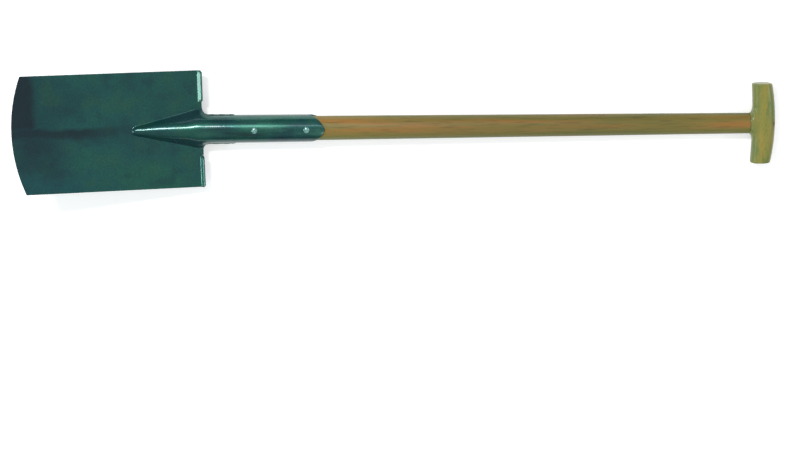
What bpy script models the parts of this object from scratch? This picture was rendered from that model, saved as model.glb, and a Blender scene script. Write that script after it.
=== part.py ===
"""Garden digging spade with a T grip, in metres, +Z up, lying on its back on the floor.

Every piece is drawn in a frame that follows the shaft: X runs along the shaft's axis toward the grip,
Y runs across the blade, Z points out of the blade's front. The blade's top edge is near X = 0.
A last step tips this frame a little, so that the heel of the socket and the grip both touch the floor.
"""
import math

import bmesh
import bpy
from mathutils import Matrix, Vector

# Blade
BLADE_LENGTH = 0.288
BLADE_HALF_WIDTH = 0.0905
SHEET = 0.002
LIFT = math.radians(13.0)
HEEL_DROP = 0.008
DISH = 0.0055
EDGE_ARC_RADIUS = 0.247
EDGE_ARC_RUN = 0.070
EDGE_THIN_SHARE = 0.45

# Raised cone of the blade, which takes the end of the shaft
CONE_LENGTH = 0.108
CONE_NOSE_LENGTH = 0.016
CONE_BASE_HALF_WIDTH = 0.031
CONE_FLARE_END = 0.012
CONE_WIDTH_AT_FLARE = 0.0303
CONE_WIDTH_AT_NOSE = 0.0104
CONE_RIDGE_START = 0.014
CONE_RIDGE_END = 0.024
CONE_RIDGE_RADIUS = 0.016
CONE_RIDGE_SHARE = 0.80
CONE_FOOT_BLEND = 0.0016
CONE_NOSE_NARROWING = 0.45
FLAT_HALF_WIDTH_AT_TIP = 0.045

# Treads folded out of the blade's top edge
TREAD_BEND_LINE = 0.0074
TREAD_FOLD = math.radians(40.0)
TREAD_BEND_RADIUS = 0.002
TREAD_FLANGE = 0.0084
TREAD_START = 0.041
TREAD_CHAMFER = 0.003
NOTCH_INNER = 0.035
NOTCH_OUTER = 0.0405

# Shaft
GRIP_X = 0.8542
SHAFT_RADIUS_AT_STRAP_END = 0.0186
SHAFT_RADIUS_AT_GRIP = 0.0155
STRAP_END = 0.191
SHAFT_TIP_X = -0.084
TENON_RADIUS = 0.011

# Straps and seams
FIT = 0.0003
STRAP_SIDE_END = 0.165
STRAP_BODY_END = 0.157
NECK_SIDE_X = 0.008
NECK_RIDGE_X = 0.012
SEAM_HALF_GAP = 0.0012
CLOSED_ZONE_END = 0.052
WELD_START = 0.0130
WELD_ROOT_START = 0.0190
WELD_PROUD = 0.0017
WELD_HALF_WIDTH = 0.0027
HEEL_SWELL = 0.0026
HEEL_SWELL_END = 0.080
REAR_SIDE_START = 0.0115
REAR_KEEL_DEPTH = 0.0126
REAR_KEEL_END = 0.078
REAR_KEEL_HALF_WIDTH = 0.0185
REAR_KEEL_TIP_HALF_WIDTH = 0.004
REAR_KEEL_FADE_START = -0.020
REAR_LAP = 0.005
REAR_HEEL_HALF_WIDTH = 0.0230
REAR_FOOT_END = 0.122
REAR_FOOT_TIP_NARROWING = 0.72

# Rivets
RIVET_X = (0.0834, 0.1633)
RIVET_RADIUS = 0.0025
RIVET_HEAD_RADIUS = 0.0047
RIVET_HEAD_HEIGHT = 0.0028
RIVET_TAIL_RADIUS = 0.0042
RIVET_TAIL_HEIGHT = 0.0007

# Grip
GRIP_HALF_LENGTH = 0.0607
GRIP_HALF_THICKNESS = 0.0153
GRIP_OUTER_X = 0.8750
GRIP_OUTER_BOW = 0.0060
GRIP_INNER_X = 0.8412
GRIP_INNER_BOW = 0.0022
GRIP_END_ROUND = 0.0016
GRIP_SQUARENESS = 0.86
BOSS_FACE_X = 0.8365
BOSS_HALF_WIDTH = 0.029
BOSS_RADIUS = 0.0162
BOSS_FLARE_END_X = 0.8414
BOSS_ROOT_X = 0.8480
BOSS_ROOT_THINNING = 0.93
WEDGE_LENGTH = 0.024
WEDGE_THIN = 0.0016
WEDGE_THICK = 0.0040
WEDGE_HALF_BREADTH = 0.0090

ARCH_STEPS = 9
FILLET_STEPS = 4
ROUND_SEGMENTS = 36
CUTTER_LENGTH = 0.080

LACQUER = (0.019, 0.084, 0.078, 1.0)
ASH = (0.32, 0.20, 0.08, 1.0)
PALE_WOOD = (0.30, 0.26, 0.09, 1.0)
WEDGE_WOOD = (0.20, 0.12, 0.05, 1.0)
RIVET_STEEL = (0.05, 0.16, 0.15, 1.0)


def material(name, colour, metallic, roughness):
    made = bpy.data.materials.new(name)
    made.use_nodes = True
    shader = made.node_tree.nodes["Principled BSDF"]
    shader.inputs["Base Color"].default_value = colour
    shader.inputs["Metallic"].default_value = metallic
    shader.inputs["Roughness"].default_value = roughness
    return made


def object_from(name, points, faces, look, smooth_below=math.radians(35.0)):
    """A mesh object with its faces turned outward."""
    mesh = bpy.data.meshes.new(name)
    mesh.from_pydata([tuple(p) for p in points], [], faces)
    shell = bmesh.new()
    shell.from_mesh(mesh)
    bmesh.ops.recalc_face_normals(shell, faces=shell.faces)
    shell.to_mesh(mesh)
    shell.free()
    mesh.shade_smooth()
    mesh.set_sharp_from_angle(angle=smooth_below)
    made = bpy.data.objects.new(name, mesh)
    if look is not None:
        mesh.materials.append(look)
    bpy.context.scene.collection.objects.link(made)
    return made


def blend(a, b, share):
    return a + (b - a) * share


def spaced(first, last, shares):
    """Places between two ends, given as shares of the way."""
    return tuple(blend(first, last, share) for share in shares)


def smooth_share(value, low, high):
    share = min(max((value - low) / (high - low), 0.0), 1.0)
    return share * share * (3.0 - 2.0 * share)


def shaft_radius(x):
    share = (x - STRAP_END) / (GRIP_X - STRAP_END)
    return blend(SHAFT_RADIUS_AT_STRAP_END, SHAFT_RADIUS_AT_GRIP, share)


def strap_radius(x):
    """Outer radius of the straps, one sheet and one clearance outside the shaft."""
    return shaft_radius(x) + FIT + SHEET


def heel_swell(x):
    """How much deeper the rear strap runs below the shaft, toward the heel."""
    return HEEL_SWELL * (1.0 - smooth_share(x, REAR_SIDE_START, HEEL_SWELL_END))


def in_blade(along, across, height):
    """A point given from the heel toward the cutting edge, across, and out of the blade's front."""
    x = -along * math.cos(LIFT) + height * math.sin(LIFT)
    z = -HEEL_DROP + along * math.sin(LIFT) + height * math.cos(LIFT)
    return Vector((x, across, z))


def dish(across):
    """The blade's hollow: a shallow curve across the middle, straight where the treads are."""
    curved = min(across, TREAD_START)
    slope = 2.0 * DISH * curved / BLADE_HALF_WIDTH ** 2
    return DISH * (curved / BLADE_HALF_WIDTH) ** 2 + slope * (across - curved)


def cone_height(along):
    """Height of the cone's ridge, which runs level with the shaft until its rounded nose."""
    level = (strap_radius(0.0) + HEEL_DROP - along * math.sin(LIFT)) / math.cos(LIFT)
    start = CONE_LENGTH - CONE_NOSE_LENGTH
    if along <= start:
        return level
    share = min((along - start) / CONE_NOSE_LENGTH, 1.0)
    return level * (1.0 - share ** 2.4) ** 0.8


def cone_half_width(along):
    start = CONE_LENGTH - CONE_NOSE_LENGTH
    if along <= CONE_FLARE_END:
        return CONE_BASE_HALF_WIDTH
    if along <= start:
        share = (along - CONE_FLARE_END) / (start - CONE_FLARE_END)
        straight = blend(CONE_WIDTH_AT_FLARE, CONE_WIDTH_AT_NOSE, share)
        flare = CONE_BASE_HALF_WIDTH - CONE_WIDTH_AT_FLARE
        return straight + flare * (1.0 - min(share * 6.0, 1.0)) ** 2
    if along <= CONE_LENGTH:
        share = (along - start) / CONE_NOSE_LENGTH
        return CONE_WIDTH_AT_NOSE * (1.0 - CONE_NOSE_NARROWING * share * share)
    share = (along - CONE_LENGTH) / (BLADE_LENGTH - CONE_LENGTH)
    tip = CONE_WIDTH_AT_NOSE * (1.0 - CONE_NOSE_NARROWING)
    return blend(tip, FLAT_HALF_WIDTH_AT_TIP, share ** 0.7)


def ridge_radius(along):
    """Radius of the cone's ridge, which narrows from the socket's own radius."""
    share = smooth_share(along, CONE_RIDGE_START, CONE_RIDGE_END)
    radius = blend(strap_radius(0.0), CONE_RIDGE_RADIUS, share)
    return min(radius, CONE_RIDGE_SHARE * cone_half_width(along))


def flank_tilt(radius, width, height):
    """Tilt of the straight flank that joins the ridge's arc to the foot, found by halving."""
    low = 0.0
    high = math.pi / 2 - 0.01
    for _ in range(40):
        tilt = (low + high) / 2.0
        reach = radius * (1.0 - math.cos(tilt)) + (width - radius * math.sin(tilt)) * math.tan(tilt)
        if reach < height:
            low = tilt
        else:
            high = tilt
    return low


def section_point(column, along):
    """Half of the cone's section: a round ridge, a straight flank, then a small blend at its foot."""
    height = cone_height(along)
    width = cone_half_width(along) - CONE_FOOT_BLEND
    radius = ridge_radius(along)
    tilt = flank_tilt(radius, width, height)
    if column <= ARCH_STEPS:
        across = (width - CONE_FOOT_BLEND) * column / ARCH_STEPS
        if across <= radius * math.sin(tilt):
            rise = height - radius + math.sqrt(radius ** 2 - across ** 2)
        else:
            rise = (width - across) * math.tan(tilt)
    else:
        share = (column - ARCH_STEPS) / FILLET_STEPS
        across = width + CONE_FOOT_BLEND * (2.0 * share - 1.0)
        rise = math.tan(tilt) * CONE_FOOT_BLEND * (1.0 - share) ** 2
    return across, rise + dish(across)


WING_LINES = (NOTCH_INNER, NOTCH_OUTER) + spaced(TREAD_START, BLADE_HALF_WIDTH, (0.0, 0.24, 0.50, 0.77, 1.0))
FIRST_WING = ARCH_STEPS + FILLET_STEPS + 1
TREAD_COLUMN = FIRST_WING + 2
LAST_COLUMN = FIRST_WING + len(WING_LINES) - 1


def blade_point(column, along, shift=0.0):
    """A point of the blade's front, on the side of positive Y."""
    if column < FIRST_WING:
        across, rise = section_point(column, along)
        return in_blade(along + shift, across, rise)
    width = cone_half_width(along)
    line = WING_LINES[column - FIRST_WING]
    share = (line - CONE_BASE_HALF_WIDTH) / (BLADE_HALF_WIDTH - CONE_BASE_HALF_WIDTH)
    across = blend(width, BLADE_HALF_WIDTH, share)
    return in_blade(along + shift, across, dish(across))


def arc_shift(across):
    """How far the cutting edge falls back from its middle, on a circle."""
    return -(EDGE_ARC_RADIUS - math.sqrt(EDGE_ARC_RADIUS ** 2 - across ** 2))


# Rows of the blade from its cutting edge to the bend of the treads, closer where the form turns.
BLADE_ROWS = spaced(BLADE_LENGTH, CONE_LENGTH, (0.0, 0.033, 0.144, 0.333, 0.533, 0.722, 0.878, 0.961))
BLADE_ROWS += spaced(CONE_LENGTH, CONE_LENGTH - CONE_NOSE_LENGTH, (0.0, 0.094, 0.219, 0.406, 0.656))
BLADE_ROWS += spaced(CONE_LENGTH - CONE_NOSE_LENGTH, TREAD_BEND_LINE,
                     (0.0, 0.106, 0.248, 0.390, 0.532, 0.662, 0.780, 0.875, 0.946, 1.0))


def neck_edge_point(column):
    """The blade's top edge beside the socket: a hollow curve from the notch to the strap's side."""
    if column <= ARCH_STEPS:
        angle = math.pi / 2 * column / ARCH_STEPS
        x = blend(NECK_SIDE_X, NECK_RIDGE_X, math.cos(angle))
        return strap_point(column, x)
    side = strap_radius(NECK_SIDE_X)
    if column < FIRST_WING:
        across, rise = section_point(column, 0.0)
    else:
        across = WING_LINES[column - FIRST_WING]
        rise = dish(across)
    point = in_blade(0.0, across, rise)
    share = min(max((NOTCH_INNER - across) / (NOTCH_INNER - side), 0.0), 1.0)
    point.x = blend(point.x, NECK_SIDE_X, 1.0 - math.sqrt(1.0 - share * share))
    return point


def seam_angle(column):
    """Angle round the shaft, which stops short of the side to leave the seam open."""
    whole = math.pi / 2 - math.asin(SEAM_HALF_GAP / strap_radius(STRAP_END))
    return whole * column / ARCH_STEPS


def strap_point(column, x):
    angle = seam_angle(column)
    radius = strap_radius(x)
    return Vector((x, radius * math.sin(angle), radius * math.cos(angle)))


def tongue_end(column):
    share = column / ARCH_STEPS
    return blend(STRAP_SIDE_END, STRAP_END, 1.0 - share ** 1.4)


# Rows of both straps from the neck to the tongue.
STRAP_ROWS = spaced(NECK_RIDGE_X, CLOSED_ZONE_END, (0.2, 0.45, 0.725, 1.0))
STRAP_ROWS += spaced(CLOSED_ZONE_END, STRAP_BODY_END, (0.143, 0.299, 0.476, 0.657, 0.838, 1.0))
TONGUE_SHARES = (0.33, 0.66, 1.0)


class Sheet:
    """A surface built row by row on both sides of the middle, then thickened."""

    def __init__(self):
        self.points = []
        self.faces = []
        self.thin = []
        self.known = {}

    def vertex(self, point, thickness=1.0):
        key = tuple(round(value, 7) for value in point)
        if key not in self.known:
            self.known[key] = len(self.points)
            self.points.append(Vector(point))
            self.thin.append(thickness)
        return self.known[key]

    def cell(self, a, b, c, d):
        """One face and its mirror image across Y = 0."""
        corners = [a, b, c, d]
        self.face(corners)
        mirrored = [(Vector((p.x, -p.y, p.z)), t) for p, t in reversed(corners)]
        self.face(mirrored)

    def face(self, corners):
        indices = []
        for point, thickness in corners:
            index = self.vertex(point, thickness)
            if index not in indices:
                indices.append(index)
        if len(indices) > 2:
            self.faces.append(indices)

    def strip(self, first, second):
        """Faces between two rows of points of the same length."""
        for i in range(len(first) - 1):
            self.cell(first[i], first[i + 1], second[i + 1], second[i])

    def solid(self, name, look, outward):
        """The sheet as an object, its thickness laid to the side away from `outward`."""
        mesh = bpy.data.meshes.new(name)
        mesh.from_pydata([tuple(p) for p in self.points], [], self.faces)
        shell = bmesh.new()
        shell.from_mesh(mesh)
        bmesh.ops.recalc_face_normals(shell, faces=shell.faces)
        shell.faces.ensure_lookup_table()
        up = max(shell.faces, key=lambda face: abs(face.normal.z) * face.calc_area())
        if up.normal.z * outward < 0:
            bmesh.ops.reverse_faces(shell, faces=shell.faces)
        shell.to_mesh(mesh)
        shell.free()
        mesh.materials.append(look)
        made = bpy.data.objects.new(name, mesh)
        bpy.context.scene.collection.objects.link(made)
        group = made.vertex_groups.new(name="thickness")
        for index, share in enumerate(self.thin):
            group.add([index], share, "REPLACE")
        thicken = made.modifiers.new("sheet thickness", "SOLIDIFY")
        thicken.thickness = SHEET
        thicken.offset = -1.0
        thicken.vertex_group = "thickness"
        thicken.use_even_offset = True
        mesh.shade_smooth()
        mesh.set_sharp_from_angle(angle=math.radians(40.0))
        return made


def full(points):
    return [(point, 1.0) for point in points]


def build_blade(look):
    sheet = Sheet()
    rows = []
    for number, along in enumerate(BLADE_ROWS):
        row = []
        for column in range(LAST_COLUMN + 1):
            point = blade_point(column, along)
            bend = 1.0 - smooth_share(BLADE_LENGTH - along, 0.0, EDGE_ARC_RUN)
            point = blade_point(column, along, arc_shift(point.y) * bend)
            row.append((point, EDGE_THIN_SHARE if number == 0 else 1.0))
        rows.append(row)
    for first, second in zip(rows, rows[1:]):
        sheet.strip(first, second)

    # Between the treads the sheet runs on to the notch and the neck.
    inner = TREAD_COLUMN
    mid = full([blade_point(column, TREAD_BEND_LINE * 0.5) for column in range(inner)])
    neck = full([neck_edge_point(column) for column in range(inner)])
    sheet.strip(rows[-1][:inner], mid)
    sheet.strip(mid, neck)

    # Treads: a short bend, then a flat flange with clipped corners.
    previous = rows[-1][TREAD_COLUMN:]
    bends = 4
    for step in range(1, bends + 2):
        angle = TREAD_FOLD * min(step, bends) / bends
        along = TREAD_BEND_LINE - TREAD_BEND_RADIUS * math.sin(angle)
        height = TREAD_BEND_RADIUS * (1.0 - math.cos(angle))
        if step > bends:
            along -= TREAD_FLANGE * math.cos(TREAD_FOLD)
            height += TREAD_FLANGE * math.sin(TREAD_FOLD)
        row = []
        for column in range(TREAD_COLUMN, LAST_COLUMN + 1):
            across = WING_LINES[column - FIRST_WING]
            rise = dish(across)
            if step > bends and column == TREAD_COLUMN:
                across += TREAD_CHAMFER
            if step > bends and column == LAST_COLUMN:
                across -= TREAD_CHAMFER
            row.append((in_blade(along, across, rise + height), 1.0))
        sheet.strip(previous, row)
        previous = row

    # Front strap.
    previous = neck[:ARCH_STEPS + 1]
    for x in STRAP_ROWS:
        row = full([strap_point(column, x) for column in range(ARCH_STEPS + 1)])
        sheet.strip(previous, row)
        previous = row
    for share in TONGUE_SHARES:
        ends = [blend(STRAP_BODY_END, tongue_end(column), share) for column in range(ARCH_STEPS + 1)]
        row = full([strap_point(column, x) for column, x in enumerate(ends)])
        sheet.strip(previous, row)
        previous = row
    return sheet.solid("blade", look, 1.0)


def rear_point(column, x):
    """A point of the rear strap's outside, counted in columns from its lowest line."""
    angle = seam_angle(column)
    radius = strap_radius(x) + heel_swell(x) * math.cos(angle) ** 2
    return Vector((x, radius * math.sin(angle), -radius * math.cos(angle)))


KEEL_COLUMNS = 6
REAR_ROWS = spaced(0.0, REAR_KEEL_END, (0.0, 0.141, 0.295, 0.462, 0.641, 0.821, 1.0))
REAR_ROWS += spaced(REAR_KEEL_END, CONE_LENGTH, (0.467, 1.0))
LAP_SHARES = (0.33, 0.67, 1.0)


def rear_foot_row(along):
    """Half a section of the rear foot: a keel under the socket, then a flat lap under the blade."""
    keel_share = 1.0 - smooth_share(along, REAR_KEEL_FADE_START, REAR_KEEL_END)
    keel_share = keel_share / (1.0 - smooth_share(0.0, REAR_KEEL_FADE_START, REAR_KEEL_END))
    end_share = along / REAR_FOOT_END
    keel_width = blend(REAR_KEEL_HALF_WIDTH, REAR_KEEL_TIP_HALF_WIDTH, end_share ** 0.9)
    lap_width = cone_half_width(min(along, CONE_LENGTH)) + REAR_LAP * (1.0 - 0.3 * end_share)
    if along <= 0.0:
        lap_width = REAR_HEEL_HALF_WIDTH
    low = -(2.0 * SHEET + FIT)
    limit = math.cos(seam_angle(KEEL_COLUMNS))
    row = []
    for column in range(KEEL_COLUMNS + 1):
        angle = seam_angle(column)
        across = keel_width * math.sin(angle) / math.sin(seam_angle(KEEL_COLUMNS))
        drop = REAR_KEEL_DEPTH * keel_share * (math.cos(angle) - limit) / (1.0 - limit)
        row.append(in_blade(along, across, low - drop + dish(across)))
    for share in LAP_SHARES:
        across = blend(keel_width, lap_width, share)
        row.append(in_blade(along, across, low + dish(across)))
    return row


def build_rear_strap(look):
    sheet = Sheet()
    foot = [full(rear_foot_row(along)) for along in REAR_ROWS]
    for first, second in zip(foot, foot[1:]):
        sheet.strip(first, second)

    # The foot ends in a rounded point under the blade's middle.
    tip = []
    last = foot[-1]
    for point, _ in last:
        share = point.y / last[-1][0].y
        along = blend(REAR_ROWS[-1], REAR_FOOT_END, 1.0 - share ** 2)
        across = point.y * REAR_FOOT_TIP_NARROWING
        tip.append((in_blade(along, across, -(2.0 * SHEET + FIT) + dish(across)), 1.0))
    sheet.strip(last, tip)

    # The keel and the lap run on into the half tube, under the neck's hollow curve.
    start = full([rear_point(column, REAR_SIDE_START) for column in range(ARCH_STEPS + 1)])
    sheet.strip(foot[0], start)
    previous = start
    for x in STRAP_ROWS:
        row = full([rear_point(column, x) for column in range(ARCH_STEPS + 1)])
        sheet.strip(previous, row)
        previous = row
    for share in TONGUE_SHARES:
        ends = [blend(STRAP_BODY_END, tongue_end(column), share) for column in range(ARCH_STEPS + 1)]
        row = full([rear_point(column, x) for column, x in enumerate(ends)])
        sheet.strip(previous, row)
        previous = row
    return sheet.solid("rear_strap", look, -1.0)


def loft(name, rings, look, smooth_below=math.radians(35.0)):
    """A closed solid from rings of the same count, with flat ends."""
    count = len(rings[0])
    points = [point for ring in rings for point in ring]
    faces = [list(range(count))]
    for ring in range(len(rings) - 1):
        for i in range(count):
            j = (i + 1) % count
            a = ring * count
            b = a + count
            faces.append([a + i, a + j, b + j, b + i])
    faces.append([(len(rings) - 1) * count + i for i in reversed(range(count))])
    return object_from(name, points, faces, look, smooth_below)


def ring_across_x(x, top, bottom, half_width, count=ROUND_SEGMENTS):
    """A ring in a plane across X whose upper and lower halves may differ."""
    ring = []
    for i in range(count):
        angle = 2.0 * math.pi * i / count
        height = math.cos(angle)
        z = height * (top if height >= 0.0 else bottom)
        ring.append(Vector((x, half_width * math.sin(angle), z)))
    return ring


def ring_round(x, radius):
    return ring_across_x(x, radius, radius, radius)


def cutter(name, made):
    made.name = name
    made.hide_render = True
    made.display_type = "WIRE"
    return made


def cylinder_cutter(name, centre, radius, axis, length):
    segments = 24
    points = []
    for end in (-0.5, 0.5):
        for i in range(segments):
            angle = 2.0 * math.pi * (i + 0.5) / segments
            flat = (radius * math.cos(angle), radius * math.sin(angle))
            if axis == "Z":
                points.append((centre[0] + flat[0], centre[1] + flat[1], centre[2] + end * length))
            else:
                points.append((centre[0] + end * length, centre[1] + flat[0], centre[2] + flat[1]))
    faces = [list(range(segments)), list(range(segments, 2 * segments))]
    for i in range(segments):
        j = (i + 1) % segments
        faces.append([i, j, segments + j, segments + i])
    return cutter(name, object_from(name, points, faces, None))


def combine(target, tool, operation):
    step = target.modifiers.new(tool.name, "BOOLEAN")
    step.operation = operation
    step.solver = "EXACT"
    step.object = tool


def build_shaft(look):
    """The ash shaft: a shaped end in the socket, a long taper, and a tenon for the grip."""
    rings = []
    # Each row holds the share of the way from the tip to the blade's top edge, then the top, the
    # bottom and the half width as shares of the shaft's radius there.
    shaped = (
        (0.0, 0.904, 0.590, 0.134),
        (0.036, 0.934, 0.513, 0.205),
        (0.167, 0.970, 0.323, 0.359),
        (0.381, 0.981, 0.005, 0.513),
        (0.595, 0.981, -0.416, 0.640),
        (0.810, 0.981, -0.837, 0.752),
        (0.976, 0.986, -1.047, 0.880),
    )
    radius = shaft_radius(0.0)
    for share, top, bottom, half_width in shaped:
        middle = radius * (top + bottom) / 2.0
        half = radius * (top - bottom) / 2.0
        ring = ring_across_x(blend(SHAFT_TIP_X, 0.0, share), half, half, radius * half_width)
        rings.append([point + Vector((0.0, 0.0, middle)) for point in ring])
    for x in spaced(REAR_SIDE_START + SHEET, HEEL_SWELL_END, (0.0, 0.25, 0.58, 1.0)):
        radius = shaft_radius(x)
        rings.append(ring_across_x(x, radius, radius + heel_swell(x), radius))
    shoulder = BOSS_FACE_X - FIT
    for x in spaced(STRAP_END, shoulder, (-0.11, 0.0, 0.17, 0.36, 0.56, 0.76, 0.91, 1.0)):
        rings.append(ring_round(x, shaft_radius(x)))
    rings.append(ring_round(shoulder, TENON_RADIUS))
    for share in (1.0, 0.72, 0.40, 0.12):
        ring = ring_round(0.0, TENON_RADIUS * share)
        for point in ring:
            point.x = grip_outer_face(point.z) - FIT
        rings.append(ring)
    return loft("shaft", rings, look)


def grip_outer_face(z):
    """X of the grip's outside at the shaft's middle, for a height above its axis."""
    share = min(abs(z) / GRIP_HALF_THICKNESS, 1.0) ** (1.0 / GRIP_SQUARENESS)
    half = (GRIP_OUTER_X - GRIP_INNER_X) / 2.0
    return GRIP_OUTER_X - half + half * math.sqrt(1.0 - share * share) ** GRIP_SQUARENESS


def wedge_block(name, spread, length, half_breadth, look, beyond=0.0):
    """A wedge along X, thin in Y, from the grip's outside inward."""
    start = GRIP_OUTER_X - length
    rings = []
    for step in range(-4, 5):
        z = half_breadth * step / 4.0
        end = grip_outer_face(z) - FIT + beyond
        thin = WEDGE_THIN / 2.0 + spread
        share = (end - start) / length
        thick = blend(thin, WEDGE_THICK / 2.0 + spread, share)
        rings.append([
            Vector((start, -thin, z)),
            Vector((start, thin, z)),
            Vector((end, thick, z)),
            Vector((end, -thick, z)),
        ])
    return loft(name, rings, look)


def grip_ring(y, shrink):
    """An oval section of the grip in a plane across Y."""
    share = (y / GRIP_HALF_LENGTH) ** 2
    outer = GRIP_OUTER_X - GRIP_OUTER_BOW * share - shrink
    inner = GRIP_INNER_X - GRIP_INNER_BOW * share + shrink
    middle = (outer + inner) / 2.0
    half = (outer - inner) / 2.0
    thick = GRIP_HALF_THICKNESS - shrink
    ring = []
    for i in range(ROUND_SEGMENTS):
        angle = 2.0 * math.pi * i / ROUND_SEGMENTS
        x = math.copysign(abs(math.cos(angle)) ** GRIP_SQUARENESS, math.cos(angle))
        z = math.copysign(abs(math.sin(angle)) ** GRIP_SQUARENESS, math.sin(angle))
        ring.append(Vector((middle + half * x, y, thick * z)))
    return ring


def build_grip(look):
    rings = []
    flat = GRIP_HALF_LENGTH - GRIP_END_ROUND
    for step in range(3):
        angle = math.pi / 2 * step / 3
        y = flat + GRIP_END_ROUND * math.cos(angle)
        rings.append((-y, GRIP_END_ROUND * (1.0 - math.sin(angle))))
    rings += [(y, 0.0) for y in spaced(-flat, flat, (0.0, 0.14, 0.24, 0.34, 0.50, 0.66, 0.76, 0.86, 1.0))]
    for step in (2, 1, 0):
        angle = math.pi / 2 * step / 3
        y = flat + GRIP_END_ROUND * math.cos(angle)
        rings.append((y, GRIP_END_ROUND * (1.0 - math.sin(angle))))
    grip = loft("t_grip", [grip_ring(y, shrink) for y, shrink in rings], look)

    # The boss flares in a quarter round from the shaft's width into the grip.
    boss_rings = []
    for share in (0.0, 0.45, 0.75, 0.93, 1.0):
        x = blend(BOSS_FACE_X, BOSS_FLARE_END_X, share)
        wide = blend(BOSS_RADIUS, BOSS_HALF_WIDTH, 1.0 - math.sqrt(1.0 - share * share))
        boss_rings.append(ring_across_x(x, GRIP_HALF_THICKNESS, GRIP_HALF_THICKNESS, wide))
    deep = GRIP_HALF_THICKNESS * BOSS_ROOT_THINNING
    boss_rings.append(ring_across_x(BOSS_ROOT_X, deep, deep, BOSS_HALF_WIDTH))
    boss = cutter("grip_boss_shape", loft("grip_boss_shape", boss_rings, None))
    combine(grip, boss, "UNION")
    bore_centre = (GRIP_X, 0.0, 0.0)
    bore = cylinder_cutter("grip_bore_shape", bore_centre, TENON_RADIUS + FIT, "X", CUTTER_LENGTH)
    combine(grip, bore, "DIFFERENCE")
    return grip, [boss, bore]


def build_weld(name, side, look):
    """A seam of weld along one side of the socket: a root in the gap under a rounded cap."""
    rings = []
    rows = spaced(WELD_START, WELD_ROOT_START, (0.0, 0.33, 0.83))
    rows += spaced(WELD_ROOT_START, CLOSED_ZONE_END, (0.0, 0.27, 0.52, 0.88, 1.0))
    for number, x in enumerate(rows):
        full_height = 0.45 if number in (0, len(rows) - 1) else 1.0
        base = strap_radius(x) + FIT
        root = SEAM_HALF_GAP - FIT
        depth = SHEET if x >= WELD_ROOT_START else 0.0
        proud = base + WELD_PROUD * full_height
        rim = math.sqrt(base ** 2 - WELD_HALF_WIDTH ** 2)
        half = [
            (base - depth, root),
            (base + 0.0001, root),
            (rim + 0.0002, WELD_HALF_WIDTH),
            (blend(rim, proud, 0.60), WELD_HALF_WIDTH * 0.80),
            (blend(rim, proud, 0.92), WELD_HALF_WIDTH * 0.40),
        ]
        ring = [(y, z) for y, z in half] + [(proud, 0.0)]
        ring += [(y, -z) for y, z in reversed(half)]
        rings.append([Vector((x, side * y, z)) for y, z in ring])
    return loft(name, rings, look)


def build_rivet(name, x, look):
    """A solid rivet along Z: a domed head on the front, a flat formed tail on the back."""
    top = strap_radius(x) + 0.7 * FIT
    profile = []
    for step in range(5):
        angle = math.pi / 2 * (step + 0.35) / 4.35
        profile.append((RIVET_HEAD_RADIUS * math.sin(angle), top + RIVET_HEAD_HEIGHT * math.cos(angle)))
    profile[-1] = (RIVET_HEAD_RADIUS, top)
    profile += [
        (RIVET_RADIUS, top),
        (RIVET_RADIUS, -top),
        (RIVET_TAIL_RADIUS, -top),
        (RIVET_TAIL_RADIUS * 0.9, -top - RIVET_TAIL_HEIGHT * 0.7),
        (RIVET_TAIL_RADIUS * 0.6, -top - RIVET_TAIL_HEIGHT),
    ]
    segments = 24
    rings = []
    for radius, z in profile:
        ring = []
        for i in range(segments):
            angle = 2.0 * math.pi * i / segments
            ring.append(Vector((x + radius * math.cos(angle), radius * math.sin(angle), z)))
        rings.append(ring)
    return loft(name, rings, look)


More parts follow.
